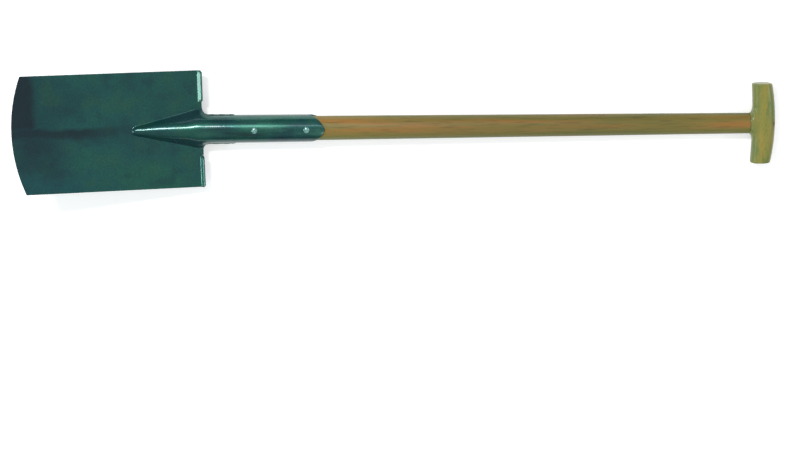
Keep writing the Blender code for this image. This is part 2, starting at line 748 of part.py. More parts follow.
def main():
    for old in list(bpy.data.objects):
        bpy.data.objects.remove(old)

    lacquer = material("green lacquered steel", LACQUER, 0.0, 0.35)
    ash = material("ash wood", ASH, 0.0, 0.55)
    pale = material("pale turned wood", PALE_WOOD, 0.0, 0.5)
    dark = material("wedge wood", WEDGE_WOOD, 0.0, 0.6)
    steel = material("lacquered rivet steel", RIVET_STEEL, 0.0, 0.3)

    blade = build_blade(lacquer)
    rear = build_rear_strap(lacquer)
    left_weld = build_weld("left_weld", 1.0, lacquer)
    right_weld = build_weld("right_weld", -1.0, lacquer)
    lower_rivet = build_rivet("lower_rivet", RIVET_X[0], steel)
    upper_rivet = build_rivet("upper_rivet", RIVET_X[1], steel)
    shaft = build_shaft(ash)
    grip, grip_tools = build_grip(pale)
    wedge = wedge_block("grip_wedge", 0.0, WEDGE_LENGTH, WEDGE_HALF_BREADTH, dark)

    tools = list(grip_tools)
    for number, x in enumerate(RIVET_X):
        centre = (x, 0.0, 0.0)
        hole_name = f"rivet_hole_shape_{number}"
        hole = cylinder_cutter(hole_name, centre, RIVET_RADIUS + FIT, "Z", CUTTER_LENGTH)
        tools.append(hole)
        for piece in (blade, rear, shaft):
            combine(piece, hole, "DIFFERENCE")
    slot_depth = WEDGE_LENGTH + 0.002
    slot = wedge_block("wedge_slot_shape", 1.5 * FIT, slot_depth, 1.3 * TENON_RADIUS, None, 0.004)
    cutter("wedge_slot_shape", slot)
    tools.append(slot)
    combine(shaft, slot, "DIFFERENCE")

    # The spade rests on the heel of its rear strap and on its grip.
    heel = in_blade(0.0, 0.0, -(2.0 * SHEET + FIT) - REAR_KEEL_DEPTH)
    pitch = math.atan2(-heel.z - GRIP_HALF_THICKNESS, GRIP_X - heel.x)
    rest = bpy.data.objects.new("rest_frame", None)
    bpy.context.scene.collection.objects.link(rest)
    pieces = [blade, rear, left_weld, right_weld, lower_rivet, upper_rivet, shaft, grip, wedge]
    for made in pieces + tools:
        made.parent = rest
    turn = Matrix.Rotation(pitch, 4, "Y")
    rest.matrix_world = turn
    bpy.context.view_layer.update()
    graph = bpy.context.evaluated_depsgraph_get()
    corners = []
    for made in pieces:
        shown = made.evaluated_get(graph)
        corners += [shown.matrix_world @ vertex.co for vertex in shown.data.vertices]
    middle = (min(c.x for c in corners) + max(c.x for c in corners)) / 2.0
    floor = min(c.z for c in corners)
    rest.matrix_world = Matrix.Translation((-middle, 0.0, -floor)) @ turn
    bpy.context.view_layer.update()


main()
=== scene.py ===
# %% [markdown]
# # A garden spade with a T grip
# The spade has nine separate pieces: a pressed steel blade that runs on into the front strap, a rear
# strap, two seam welds, two rivets, a wooden shaft, a wooden grip, and the wedge that locks the grip.
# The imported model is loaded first, because it says where each piece is. Each piece is then made again,
# finer, in the same place.

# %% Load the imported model
import math

import bpy
from mathutils import Matrix, Vector


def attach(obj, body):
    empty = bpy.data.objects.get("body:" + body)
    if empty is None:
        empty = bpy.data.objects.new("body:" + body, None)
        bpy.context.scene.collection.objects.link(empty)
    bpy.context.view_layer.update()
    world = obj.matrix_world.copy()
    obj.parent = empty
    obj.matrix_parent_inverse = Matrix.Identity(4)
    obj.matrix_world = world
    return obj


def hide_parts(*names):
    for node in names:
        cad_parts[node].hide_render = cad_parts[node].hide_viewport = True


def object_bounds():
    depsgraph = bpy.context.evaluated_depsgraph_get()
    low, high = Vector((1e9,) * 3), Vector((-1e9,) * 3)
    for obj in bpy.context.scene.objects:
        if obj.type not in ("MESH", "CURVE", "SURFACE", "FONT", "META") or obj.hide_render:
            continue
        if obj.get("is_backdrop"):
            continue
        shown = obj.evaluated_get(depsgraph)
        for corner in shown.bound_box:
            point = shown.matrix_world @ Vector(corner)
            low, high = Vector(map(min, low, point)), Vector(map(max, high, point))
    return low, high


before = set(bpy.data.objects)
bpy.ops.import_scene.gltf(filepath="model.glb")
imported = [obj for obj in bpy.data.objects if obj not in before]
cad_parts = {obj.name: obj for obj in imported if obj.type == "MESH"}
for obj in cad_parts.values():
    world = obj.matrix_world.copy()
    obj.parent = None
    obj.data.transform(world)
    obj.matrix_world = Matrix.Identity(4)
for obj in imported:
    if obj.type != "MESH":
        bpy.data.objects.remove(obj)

cad_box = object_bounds()
print("pieces in the packed model:", sorted(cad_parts))

# %% [markdown]
# ## The camera
# The picture looks down on the spade from over its middle, a little from the left side of the shaft.
# Such a view can be set by eye, but here it was worked out from the blade's corners, the rivets, the
# shaft's edges and the grip, so it is given as a place, a line of sight and an up direction.

# %% Camera
def added(command, name, **settings):
    """Adds one new object by one of Blender's add commands, with nothing else selected."""
    bpy.ops.object.select_all(action="DESELECT")
    command(**settings)
    made = bpy.context.object
    made.name = name
    return made


LENS_MM = 73.69
EYE = Vector((0.12434, 0.3542, 2.50796))
SIGHT = Vector((-0.04684, -0.2063, -0.97736)).normalized()
UP = Vector((0.00669, 0.9784, -0.20688))

across_view = SIGHT.cross(UP).normalized()
up_view = across_view.cross(SIGHT)
view_turn = Matrix((across_view, up_view, -SIGHT)).transposed()

camera = added(bpy.ops.object.camera_add, "picture_camera", location=EYE)
camera.rotation_euler = view_turn.to_euler()
camera.data.lens = LENS_MM
camera.data.sensor_width = 36.0
bpy.context.scene.camera = camera
print("camera stands", round(EYE.z, 3), "m above the floor")

# %% [markdown]
# ## Adding nodes in one line each
# A material is a tree of nodes. One small function adds a node, sets its values and links what feeds
# it, so that a finish reads from top to bottom. What feeds it is a node, which stands for its first
# output, or one output of a node. Colours are written as hex codes, as a paint chart gives them, and
# one function turns them into the linear values that Blender calculates with.

# %% Node and colour helpers
def linear(hex_code):
    """An sRGB hex colour as linear red, green, blue and alpha."""
    parts = [int(hex_code[i:i + 2], 16) / 255 for i in (1, 3, 5)]
    return [p / 12.92 if p <= 0.04045 else ((p + 0.055) / 1.055) ** 2.4 for p in parts] + [1.0]


def add(tree, kind, settings=None, links=None, stops=None):
    """Adds a node. Settings name a property or an input, links name an input, stops fill a ramp."""
    node = tree.nodes.new("ShaderNode" + kind)
    for key, value in (settings or {}).items():
        if isinstance(key, str) and hasattr(node, key):
            setattr(node, key, value)
        else:
            node.inputs[key].default_value = value
    for key, source in (links or {}).items():
        output = source.outputs[0] if hasattr(source, "outputs") else source
        tree.links.new(output, node.inputs[key])
    if stops:
        while len(node.color_ramp.elements) < len(stops):
            node.color_ramp.elements.new(0.5)
        for element, (place, colour) in zip(node.color_ramp.elements, stops):
            element.position = place
            element.color = linear(colour) if isinstance(colour, str) else [colour] * 3 + [1.0]
    return node


def new_material(name):
    """An empty material and its output node."""
    made = bpy.data.materials.new(name)
    made.use_nodes = True
    made.node_tree.nodes.clear()
    return made, made.node_tree, made.node_tree.nodes.new("ShaderNodeOutputMaterial")


print("linear value of a mid teal:", [round(value, 3) for value in linear("#26524F")])

# %% [markdown]
# ## The floor
# The spade lies on a plain white floor. A white floor could be lit until it looks white, but then the
# spade would be too bright. So the floor has a pale grey colour that takes the shadow, and it gives
# off a little light of its own to the camera and in reflections, which lifts it to white. It is very
# large, so that it also fills the picture in a view from low down.

# %% Floor
FLOOR_SIZE = 150.0
FLOOR_LEVEL = -0.0004
FLOOR_GLOW = 0.50

floor = added(bpy.ops.mesh.primitive_plane_add, "studio_floor", size=FLOOR_SIZE,
              location=(0.0, 0.0, FLOOR_LEVEL))
floor_paint, tree, output = new_material("white studio floor")
path = add(tree, "LightPath")
seen = add(tree, "Math", {"operation": "MAXIMUM"},
           {0: path.outputs["Is Camera Ray"], 1: path.outputs["Is Glossy Ray"]})
lift = add(tree, "Math", {"operation": "MULTIPLY", 1: FLOOR_GLOW}, {0: seen})
matt = add(tree, "BsdfDiffuse", {"Color": linear("#DCDCDC")})
glow = add(tree, "Emission", {"Color": linear("#FFFFFF")}, {"Strength": lift})
both = add(tree, "AddShader", {}, {0: matt, 1: glow})
tree.links.new(both.outputs[0], output.inputs["Surface"])
floor.data.materials.append(floor_paint)
floor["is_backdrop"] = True
print("floor under the spade, size", tuple(floor.dimensions))

# %% [markdown]
# ## The light
# A small studio has one main lamp and softer ones that fill the shadows. The thin bright line on the
# socket shows that the main lamp hangs high over the blade, on the upper side of the picture. A weak
# one beside it carries that line along the shaft. The bright treads and the bright nose of the socket
# show a lamp low on the left. A fill lamp stands on the lower side, and one beyond the grip lights its
# rounded outer side. Area lamps were chosen, because their size sets how soft a highlight and a shadow
# are. The sky fades from a bluish grey at the horizon to white overhead, which the lacquer mirrors.

# %% World and lamps
world = bpy.data.worlds.new("studio air")
world.use_nodes = True
tree = world.node_tree
way = add(tree, "TexCoord").outputs["Generated"]
height = add(tree, "SeparateXYZ", {}, {0: way})
level = add(tree, "MapRange", {1: -0.1, 2: 1.0, 3: 0.32, 4: 0.67}, {0: height.outputs["Z"]})
tint = add(tree, "ValToRGB", {}, {0: height.outputs["Z"]},
           [(0.0, "#A3A8C0"), (0.25, "#B4C0D2"), (0.60, "#F8FBFC")])
sky = tree.nodes["Background"]
tree.links.new(tint.outputs["Color"], sky.inputs["Color"])
tree.links.new(level.outputs[0], sky.inputs["Strength"])
bpy.context.scene.world = world
bpy.context.scene.view_settings.view_transform = "Standard"


def hang_lamp(name, place, target, size, power, colour="#FFFFFF"):
    """An area lamp at a place, turned toward a target. The size is its width and its height."""
    lamp = added(bpy.ops.object.light_add, name, type="AREA", location=place)
    lamp.rotation_euler = (Vector(target) - Vector(place)).to_track_quat("-Z", "Y").to_euler()
    lamp.data.shape = "ELLIPSE"
    lamp.data.size, lamp.data.size_y = size
    lamp.data.energy = power
    lamp.data.color = linear(colour)[:3]
    print(name, "at", place, "with", power, "W")


hang_lamp("main_lamp", (-1.06, 1.30, 2.35), (-0.96, 0.0, 0.0), (0.92, 0.46), 51.0)
hang_lamp("upper_lamp", (-0.10, 1.30, 2.35), (-0.15, 0.0, 0.0), (0.80, 0.34), 3.0)
hang_lamp("left_lamp", (-2.20, -0.35, 1.02), (-0.25, 0.0, 0.0), (0.75, 0.30), 10.0, "#E6FFF6")
hang_lamp("fill_lamp", (0.4, -1.5, 1.7), (0.0, 0.0, 0.0), (0.9, 0.9), 6.0)
hang_lamp("right_lamp", (1.80, 0.15, 0.90), (0.56, 0.0, 0.0), (0.60, 0.60), 5.0)

# %% [markdown]
# ## The colour of the lacquer
# The steel parts are dipped in a thin blue-green lacquer. A plain green shader would look like plastic.
# The colour is mixed greener and a little lighter toward the grip and on one side, and stays bluer on
# the other. Large soft noise mixes three near tones, and a finer one adds the places where the coat ran
# thick or thin. Every tint is a mix of two colours, steered by a value between 0 and 1.

# %% Lacquer colour
def coat_colour(tree, place, axes, drift):
    """The colour of the dipped coat. Drift is slow noise, with clouds about 80 mm wide."""
    tones = add(tree, "ValToRGB", {}, {0: drift},
                [(0.36, "#063840"), (0.50, "#0D464A"), (0.64, "#125047")])

    # Greener toward the shaft and the left side of the blade.
    side = add(tree, "MapRange", {1: -0.10, 2: 0.10, 3: 0.0, 4: 0.5}, {0: axes.outputs["Y"]})
    along = add(tree, "MapRange", {1: -0.58, 2: -0.30, 3: 0.0, 4: 0.5}, {0: axes.outputs["X"]})
    share = add(tree, "Math", {"operation": "ADD"}, {0: side, 1: along})
    share = add(tree, "Math", {"operation": "MULTIPLY", 1: 0.55}, {0: share})
    colour = add(tree, "Mix", {"data_type": "RGBA", 7: linear("#185142")},
                 {0: share, 6: tones}).outputs[2]

    # Bluer smudges of 20 to 30 mm, where the coat ran a little thicker, and warm thin spots.
    clouds = add(tree, "TexNoise", {"Scale": 34.0, "Detail": 2.0}, {"Vector": place})
    for low, high, most, tone in ((0.53, 0.70, 0.50, "#0D323B"), (0.46, 0.32, 0.22, "#2C5639")):
        spots = add(tree, "MapRange", {1: low, 2: high, 3: 0.0, 4: most}, {0: clouds})
        colour = add(tree, "Mix", {"data_type": "RGBA", 7: linear(tone)},
                     {0: spots, 6: colour}).outputs[2]
    return colour


print("the smudges are about", round(1000 / 34), "mm wide")

# %% [markdown]
# ## Painted shade on the blade
# Painted shade darkens a zone behind the cutting edge and a band along the blade's middle, and painted
# shade with a painted dark reflection darkens the flanks of the cone. Each such place is a field: soft
# limits along and across the blade, multiplied. The clouds push the borders of the shaded places about,
# so that none of them is straight. The strap was rubbed along its length, which left long lighter and
# darker streaks.

# %% Darker fields and streaks
def shade_and_streak_colour(tree, colour, place, axes, drift):
    """Mixes in each tone of painted shade by the strongest of its fields, and then the strap's streaks.
    A limit gives what it follows, where it starts and ends, and its strength at both."""
    push = add(tree, "Math", {"operation": "MULTIPLY_ADD", 1: 0.024, 2: -0.012}, {0: drift})
    x, y = [add(tree, "Math", {"operation": "ADD"}, {0: axes.outputs[axis], 1: push}) for axis in "XY"]
    # Painted shade: a zone on the left side of the edge, a long streak in the middle, and a wide faint
    # one.
    ground = [[(x, -0.552, -0.540, 0.95, 0), (y, -0.004, 0.012, 0, 1)],
              [(x, -0.480, -0.390, 0.85, 0), (y, -0.016, -0.001, 0, 1), (y, 0.003, 0.011, 1, 0)],
              [(x, -0.530, -0.470, 0.50, 0), (y, -0.075, -0.045, 0, 1), (y, 0.000, 0.008, 1, 0)]]

    # Painted shade and a painted dark reflection on both flanks of the cone, from its nose to the
    # socket, inside the line of its foot.
    along = axes.outputs["X"]
    off_middle = add(tree, "Math", {"operation": "ABSOLUTE"}, {0: axes.outputs["Y"]})
    foot_line = add(tree, "Math", {"operation": "MULTIPLY_ADD", 1: -0.249}, {0: along, 2: off_middle})
    painted_flank_shade = [[(along, -0.375, -0.330, 0, 0.65), (along, -0.302, -0.292, 1, 0),
               (off_middle, 0.009, 0.016, 0, 1), (foot_line, 0.1045, 0.1066, 1, 0)]]

    # Painted shade tones: a dark blue-green behind the edge and along the middle, a bluish grey on the
    # flanks.
    for tone, fields in (("#0B222B", ground), ("#28454F", painted_flank_shade)):
        strongest = None
        for limits in fields:
            field = None
            for source, low, high, start, end in limits:
                limit = add(tree, "MapRange", {"interpolation_type": "SMOOTHSTEP", 1: low, 2: high,
                                               3: start, 4: end}, {0: source})
                field = limit if field is None else add(
                    tree, "Math", {"operation": "MULTIPLY"}, {0: field, 1: limit})
            strongest = field if strongest is None else add(
                tree, "Math", {"operation": "MAXIMUM"}, {0: strongest, 1: field})
        colour = add(tree, "Mix", {"data_type": "RGBA", 7: linear(tone)},
                     {0: strongest, 6: colour}).outputs[2]

    long_way = add(tree, "Mapping", {"Scale": (14.0, 85.0, 85.0)}, {"Vector": place})
    rubbed = add(tree, "TexNoise", {"Scale": 1.0, "Detail": 3.0}, {"Vector": long_way})
    on_strap = add(tree, "MapRange", {1: -0.31, 2: -0.27, 3: 0.0, 4: 0.75}, {0: along})
    for low, high, tone in ((0.52, 0.70, "#34695A"), (0.48, 0.34, "#0A2A30")):
        mark = add(tree, "MapRange", {1: low, 2: high}, {0: rubbed})
        mark = add(tree, "Math", {"operation": "MULTIPLY"}, {0: mark, 1: on_strap})
        colour = add(tree, "Mix", {"data_type": "RGBA", 7: linear(tone)},
                     {0: mark, 6: colour}).outputs[2]
    return colour


print("the streaks are about", round(1000 / 14), "mm long and", round(1000 / 85), "mm wide")

# %% [markdown]
# ## Lacquered steel
# The colour alone would still look printed. A fine speckle breaks it up, the gloss changes over areas
# the size of a hand, and very shallow waves give the skin of the coat. The steel shines through the
# thin lacquer, so the shader is half metal, with a clear coat on top.

# %% Lacquer
def lacquer_material(name, with_shade_and_streaks):
    made, tree, output = new_material(name)
    place = add(tree, "TexCoord").outputs["Object"]
    axes = add(tree, "SeparateXYZ", {}, {0: place})
    drift = add(tree, "TexNoise", {"Scale": 12.0, "Detail": 3.0, "Roughness": 0.55}, {"Vector": place})
    colour = coat_colour(tree, place, axes, drift)
    # The blade's lacquer gets the painted shade and the strap's streaks.
    if with_shade_and_streaks:
        colour = shade_and_streak_colour(tree, colour, place, axes, drift)

    # Fine speckle of about 2 mm keeps large flat areas alive.
    speckle = add(tree, "TexNoise", {"Scale": 420.0, "Detail": 2.0}, {"Vector": place})
    fleck = add(tree, "MapRange", {1: 0.3, 2: 0.7, 3: 0.82, 4: 1.18}, {0: speckle})
    colour = add(tree, "Mix", {"data_type": "RGBA", "blend_type": "MULTIPLY", 0: 1.0},
                 {6: colour, 7: fleck}).outputs[2]

    # Patches of changing gloss, so that the highlights break up.
    patches = add(tree, "TexNoise", {"Scale": 38.0, "Detail": 4.0}, {"Vector": place})
    gloss = add(tree, "MapRange", {1: 0.3, 2: 0.7, 3: 0.24, 4: 0.34}, {0: patches})

    # The skin of the coat: soft waves of about 7 mm, a hundredth of a millimetre deep. They make the
    # bright line on the ridge waver a little without breaking it.
    waves = add(tree, "TexNoise", {"Scale": 140.0, "Detail": 1.0}, {"Vector": place})
    skin = add(tree, "Bump", {"Strength": 0.06, "Distance": 0.0002}, {"Height": waves})
    shader = add(tree, "BsdfPrincipled", {"Metallic": 0.50, "Specular IOR Level": 0.22,
                                          "Coat Weight": 0.45, "Coat Roughness": 0.09},
                 {"Base Color": colour, "Roughness": gloss, "Normal": skin})
    tree.links.new(shader.outputs[0], output.inputs["Surface"])
    return made


# Only the blade's lacquer is given the painted shade and the streaks.
blade_lacquer = lacquer_material("blue-green dipped lacquer on blade steel", True)
strap_lacquer = lacquer_material("blue-green dipped lacquer on strap steel", False)
print("lacquers:", blade_lacquer.name, "and", strap_lacquer.name)

# %% [markdown]
# ## Ash for the shaft
# The shaft is turned from one length of ash. Its grain runs along the shaft, so the noise is stretched
# along X by its Mapping node. Broad stripes about 11 mm wide give the yearly rings, and stripes seven
# times finer give the open pores. The rounded sides are mixed greener as a painted sky reflection, and
# the long piece is paler and warmer toward both ends, so that it never looks printed.

# %% Ash
# Painted sky reflection: the rounded sides of the shaft and the grip are mixed greener.
PAINTED_SIDE_SHEEN = {7: linear("#68763E")}
PALER = {"blend_type": "MULTIPLY", 7: [1.32, 1.26, 1.12, 1.0]}


def wood_material(name, stretch, stripes, pores, roughness, changes=()):
    """Wood with its grain along one axis. A change gives an axis, a middle, how far from it the
    shift starts and is full, how strong it is, and what is mixed in."""
    made, tree, output = new_material(name)
    place = add(tree, "TexCoord").outputs["Object"]
    rings = add(tree, "Mapping", {"Scale": stretch}, {"Vector": place})
    broad = add(tree, "TexNoise", {"Scale": 1.0, "Detail": 4.0, "Roughness": 0.6, "Distortion": 0.3},
                {"Vector": rings})
    tones = add(tree, "ValToRGB", {}, {0: broad}, stripes)

    fine_stretch = [value * 7.0 for value in stretch]
    fine = add(tree, "Mapping", {"Scale": fine_stretch}, {"Vector": place})
    grain = add(tree, "TexNoise", {"Scale": 1.0, "Detail": 3.0}, {"Vector": fine})
    dark = add(tree, "MapRange", {1: 0.46, 2: 0.32, 3: 0.0, 4: 0.60}, {0: grain})
    colour = add(tree, "Mix", {"data_type": "RGBA", 7: linear(pores)}, {0: dark, 6: tones}).outputs[2]

    axes = add(tree, "SeparateXYZ", {}, {0: place})
    for axis, middle, near, far, most, mixed_in in changes:
        apart = add(tree, "Math", {"operation": "SUBTRACT", 1: middle}, {0: axes.outputs[axis]})
        away = add(tree, "Math", {"operation": "ABSOLUTE"}, {0: apart})
        share = add(tree, "MapRange", {1: near, 2: far, 3: 0.0, 4: most}, {0: away})
        colour = add(tree, "Mix", {"data_type": "RGBA", **mixed_in}, {0: share, 6: colour}).outputs[2]

    # Gloss falls in the pores, and the fibres stand a few hundredths of a millimetre apart.
    dull = add(tree, "MapRange", {1: 0.3, 2: 0.7, 3: roughness + 0.1, 4: roughness - 0.05}, {0: grain})
    fibres = add(tree, "Bump", {"Strength": 0.3, "Distance": 0.0003}, {"Height": grain})
    shader = add(tree, "BsdfPrincipled", {"Specular IOR Level": 0.4},
                 {"Base Color": colour, "Roughness": dull, "Normal": fibres})
    tree.links.new(shader.outputs[0], output.inputs["Surface"])
    return made


# The shaft's rounded sides get the painted sky reflection, and both ends are paler and warmer.
ash = wood_material("oiled ash along the shaft", (4.0, 90.0, 90.0),
                    [(0.32, "#5A5A29"), (0.45, "#6E622A"), (0.55, "#7A612B"), (0.70, "#8C6029")],
                    "#4C401C", 0.48, [("Y", 0.004, 0.00735, 0.021, 0.60, PAINTED_SIDE_SHEEN),
                                      ("X", 0.217, 0.12, 0.34, 0.65, PALER)])
print("shaft wood:", ash.name)

# %% [markdown]
# ## Paler wood for the grip and the wedge
# The grip is another piece of wood, paler and a little green, with its grain along the grip. It uses
# the same tree as the shaft, stretched less and along Y, which makes its figure short and mottled.
# The wedge is darker, so that it shows in the tenon.

# %% Grip and wedge wood
# The grip's rounded inner and outer sides get the painted sky reflection too.
grip_wood = wood_material("varnished pale wood across the grip", (105.0, 24.0, 105.0),
                          [(0.33, "#667539"), (0.46, "#7F803A"), (0.57, "#8D833C"), (0.70, "#A27F3B")],
                          "#6B652C", 0.30, [("X", 0.5610, 0.00595, 0.017, 0.60, PAINTED_SIDE_SHEEN)])
wedge_wood = wood_material("oak wedge", (9.0, 160.0, 40.0),
                           [(0.3, "#5E4423"), (0.5, "#73562E"), (0.7, "#7E6236"), (0.9, "#86693A")],
                           "#3F2D17", 0.6)
print("grip and wedge wood:", grip_wood.name, "and", wedge_wood.name)

# %% [markdown]
# ## Lacquered rivets
# The rivets are dipped with the rest, but their domes are burnished by the hammer, so the lacquer
# over them is glossier and lets a little of the steel through.

# %% Rivet finish
rivet_finish, tree, output = new_material("thin lacquer over burnished rivet steel")
place = add(tree, "TexCoord").outputs["Object"]
marks = add(tree, "TexNoise", {"Scale": 700.0, "Detail": 2.0}, {"Vector": place})
tones = add(tree, "ValToRGB", {}, {0: marks}, [(0.35, "#5C938B"), (0.65, "#8FBFB6")])
gloss = add(tree, "MapRange", {1: 0.3, 2: 0.7, 3: 0.24, 4: 0.34}, {0: marks})
dents = add(tree, "Bump", {"Strength": 0.06, "Distance": 0.0002}, {"Height": marks})
shader = add(tree, "BsdfPrincipled", {"Metallic": 0.90, "Coat Weight": 0.8, "Coat Roughness": 0.22},
             {"Base Color": tones, "Roughness": gloss, "Normal": dents})
tree.links.new(shader.outputs[0], output.inputs["Surface"])
print("rivet finish:", rivet_finish.name)

# %% [markdown]
# ## Where the pieces lie
# It is easier to draw a spade along its own shaft than along the floor. So each piece is drawn with X
# along the shaft, Y across and Z out of the blade's front, and is then laid down: the heel of the
# socket and the grip touch the floor, which tips the shaft by about half a degree.

# %% Laying a piece down
SHAFT_TIP_ANGLE = math.atan2(0.010683, 0.999943)
TOP_EDGE_PLACE = Vector((-0.297222, 0.0, 0.024517))
LAID_DOWN = Matrix.Translation(TOP_EDGE_PLACE) @ Matrix.Rotation(SHAFT_TIP_ANGLE, 4, "Y")


def only(piece):
    """Makes one piece the active and the only selected one."""
    bpy.ops.object.select_all(action="DESELECT")
    piece.select_set(True)
    bpy.context.view_layer.objects.active = piece


def finish_with(piece, kind, **settings):
    """Adds one modifier and applies it."""
    step = piece.modifiers.new(kind.lower(), kind)
    for key, value in settings.items():
        setattr(step, key, value)
    only(piece)
    bpy.ops.object.modifier_apply(modifier=step.name)


def lay_down(piece, finish, node, smooth_below=35.0):
    """Puts the piece in its place on the floor, gives it its finish, and hides the piece of the
    model that it stands for.
    """
    only(piece)
    piece.matrix_world = LAID_DOWN
    bpy.ops.object.transform_apply(location=True, rotation=True, scale=True)
    bpy.ops.object.shade_smooth_by_angle(angle=math.radians(smooth_below))
    piece.data.materials.clear()
    piece.data.materials.append(finish)
    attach(piece, "root")
    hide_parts(node)
    print(piece.name, "has", len(piece.data.polygons), "faces")


print("the shaft is tipped by", round(math.degrees(SHAFT_TIP_ANGLE), 2), "degrees")

# %% [markdown]
# ## The form of the blade
# The blade is one sheet that a press has bent. The simplest way to copy that is to do what the press
# does: take a flat grid and move each point onto the die. The die is written as a few functions: a
# shallow hollow across the blade, a raised cone with a rounded nose for the shaft's end, and a half
# tube for the strap.

# %% Sizes of blade and straps
BLADE_LENGTH = 0.288
BLADE_HALF_WIDTH = 0.0905
SHEET = 0.002
FIT = 0.0003
LIFT = math.radians(13.0)
HEEL_DROP = 0.008
DISH = 0.0055
EDGE_ARC_RADIUS = 0.247
EDGE_ARC_RUN = 0.070
CONE_LENGTH = 0.108
CONE_NOSE_START = 0.092
CONE_BASE_HALF_WIDTH = 0.031
CONE_FLARE_END = 0.012
TREAD_BEND_LINE = 0.0074
TREAD_START = 0.041
NOTCH_INNER = 0.035
NOTCH_OUTER = 0.0405
NECK_SIDE_X = 0.008
NECK_RIDGE_X = 0.012
STRAP_END = 0.191
STRAP_SIDE_END = 0.165
STRAP_BODY_END = 0.157
RIVET_X = (0.0834, 0.1633)
GRIP_X = 0.8542
SHAFT_RADIUS_AT_STRAPS = 0.0186
SHAFT_RADIUS_AT_GRIP = 0.0155


def blend(a, b, share):
    return a + (b - a) * share


def smooth_share(value, low, high):
    share = min(max((value - low) / (high - low), 0.0), 1.0)
    return share * share * (3.0 - 2.0 * share)


def shaft_radius(x):
    """The shaft tapers from the end of the straps to the grip."""
    return blend(SHAFT_RADIUS_AT_STRAPS, SHAFT_RADIUS_AT_GRIP, (x - STRAP_END) / (GRIP_X - STRAP_END))


def strap_radius(x):
    """The outside of the straps, one sheet and one clearance outside the shaft."""
    return shaft_radius(x) + FIT + SHEET


def in_blade(along, across, height):
    """A point given from the heel toward the cutting edge, across, and out of the blade's front."""
    x = -along * math.cos(LIFT) + height * math.sin(LIFT)
    z = -HEEL_DROP + along * math.sin(LIFT) + height * math.cos(LIFT)
    return Vector((x, across, z))


def dish(across):
    """The shallow hollow of the blade, straight where the treads are."""
    curved = min(across, TREAD_START)
    slope = 2.0 * DISH * curved / BLADE_HALF_WIDTH ** 2
    return DISH * (curved / BLADE_HALF_WIDTH) ** 2 + slope * (across - curved)


print("the hollow is", round(dish(BLADE_HALF_WIDTH) * 1000, 1), "mm deep at the sides")

# %% [markdown]
# ## The cone
# The cone's ridge runs on from the shaft while the blade rises to meet it, sinks a little on the way,
# and drops in a rounded end at its nose. Across, it has a round ridge and straight flanks, like a small
# gable, with a narrow hollow at the foot. The flanks are what look dark beside the bright ridge.

# %% Form of the cone
ARCH = 9
FILLET_END = 13
FOOT_BLEND = 0.0016
WIDTH_AT_FLARE = 0.0303
WIDTH_AT_NOSE = 0.0104
NOSE_NARROWING = 0.45
FLAT_WIDTH_AT_EDGE = 0.045
RIDGE_RADIUS = 0.016
RIDGE_RADIUS_AT_NOSE = 0.012
RIDGE_SINK_START = 0.045
RIDGE_SINK = 0.70
NOSE_DROP_START = 0.1020


def cone_height(along):
    level = (strap_radius(0.0) + HEEL_DROP - along * math.sin(LIFT)) / math.cos(LIFT)
    level -= RIDGE_SINK * max(along - RIDGE_SINK_START, 0.0) ** 2
    if along <= NOSE_DROP_START:
        return level
    share = min((along - NOSE_DROP_START) / (CONE_LENGTH - NOSE_DROP_START), 1.0)
    return level * (1.0 - share ** 3.0) ** 0.75


def cone_half_width(along):
    if along <= CONE_FLARE_END:
        return CONE_BASE_HALF_WIDTH
    if along <= CONE_NOSE_START:
        share = (along - CONE_FLARE_END) / (CONE_NOSE_START - CONE_FLARE_END)
        flare = (CONE_BASE_HALF_WIDTH - WIDTH_AT_FLARE) * (1.0 - min(share * 6.0, 1.0)) ** 2
        return blend(WIDTH_AT_FLARE, WIDTH_AT_NOSE, share) + flare
    if along <= CONE_LENGTH:
        share = (along - CONE_NOSE_START) / (CONE_LENGTH - CONE_NOSE_START)
        return WIDTH_AT_NOSE * (1.0 - NOSE_NARROWING * share * share)
    share = (along - CONE_LENGTH) / (BLADE_LENGTH - CONE_LENGTH)
    return blend(WIDTH_AT_NOSE * (1.0 - NOSE_NARROWING), FLAT_WIDTH_AT_EDGE, share ** 0.7)


def ridge_radius(along):
    """The ridge narrows in two stages, and stays a little under the arc that would fill the cone."""
    radius = blend(strap_radius(0.0), RIDGE_RADIUS, smooth_share(along, 0.014, 0.024))
    radius = blend(radius, RIDGE_RADIUS_AT_NOSE, smooth_share(along, 0.030, 0.090))
    height = max(cone_height(along), 0.0005)
    width = cone_half_width(along) - FOOT_BLEND
    return min(radius, 0.92 * (width ** 2 + height ** 2) / (2.0 * height))


def flank_tilt(radius, width, height):
    """Tilt of the straight flank between the ridge's arc and the foot, found by halving."""
    low, high = 0.0, math.asin(min(width / radius, 1.0)) - 0.01
    for _ in range(40):
        tilt = (low + high) / 2.0
        reach = radius * (1.0 - math.cos(tilt)) + (width - radius * math.sin(tilt)) * math.tan(tilt)
        if reach < height:
            low = tilt
        else:
            high = tilt
    return low


def section_point(column, along):
    """Half of the cone's section: a round ridge, a straight flank, then a small blend at its foot."""
    height = cone_height(along)
    width = cone_half_width(along) - FOOT_BLEND
    radius = ridge_radius(along)
    tilt = flank_tilt(radius, width, height)
    if column > ARCH:
        share = (column - ARCH) / (FILLET_END - ARCH)
        across = width + FOOT_BLEND * (2.0 * share - 1.0)
        rise = math.tan(tilt) * FOOT_BLEND * (1.0 - share) ** 2
        return across, rise + dish(across)
    across = (width - FOOT_BLEND) * column / ARCH
    if across <= radius * math.sin(tilt):
        return across, height - radius + math.sqrt(radius ** 2 - across ** 2) + dish(across)
    return across, (width - across) * math.tan(tilt) + dish(across)


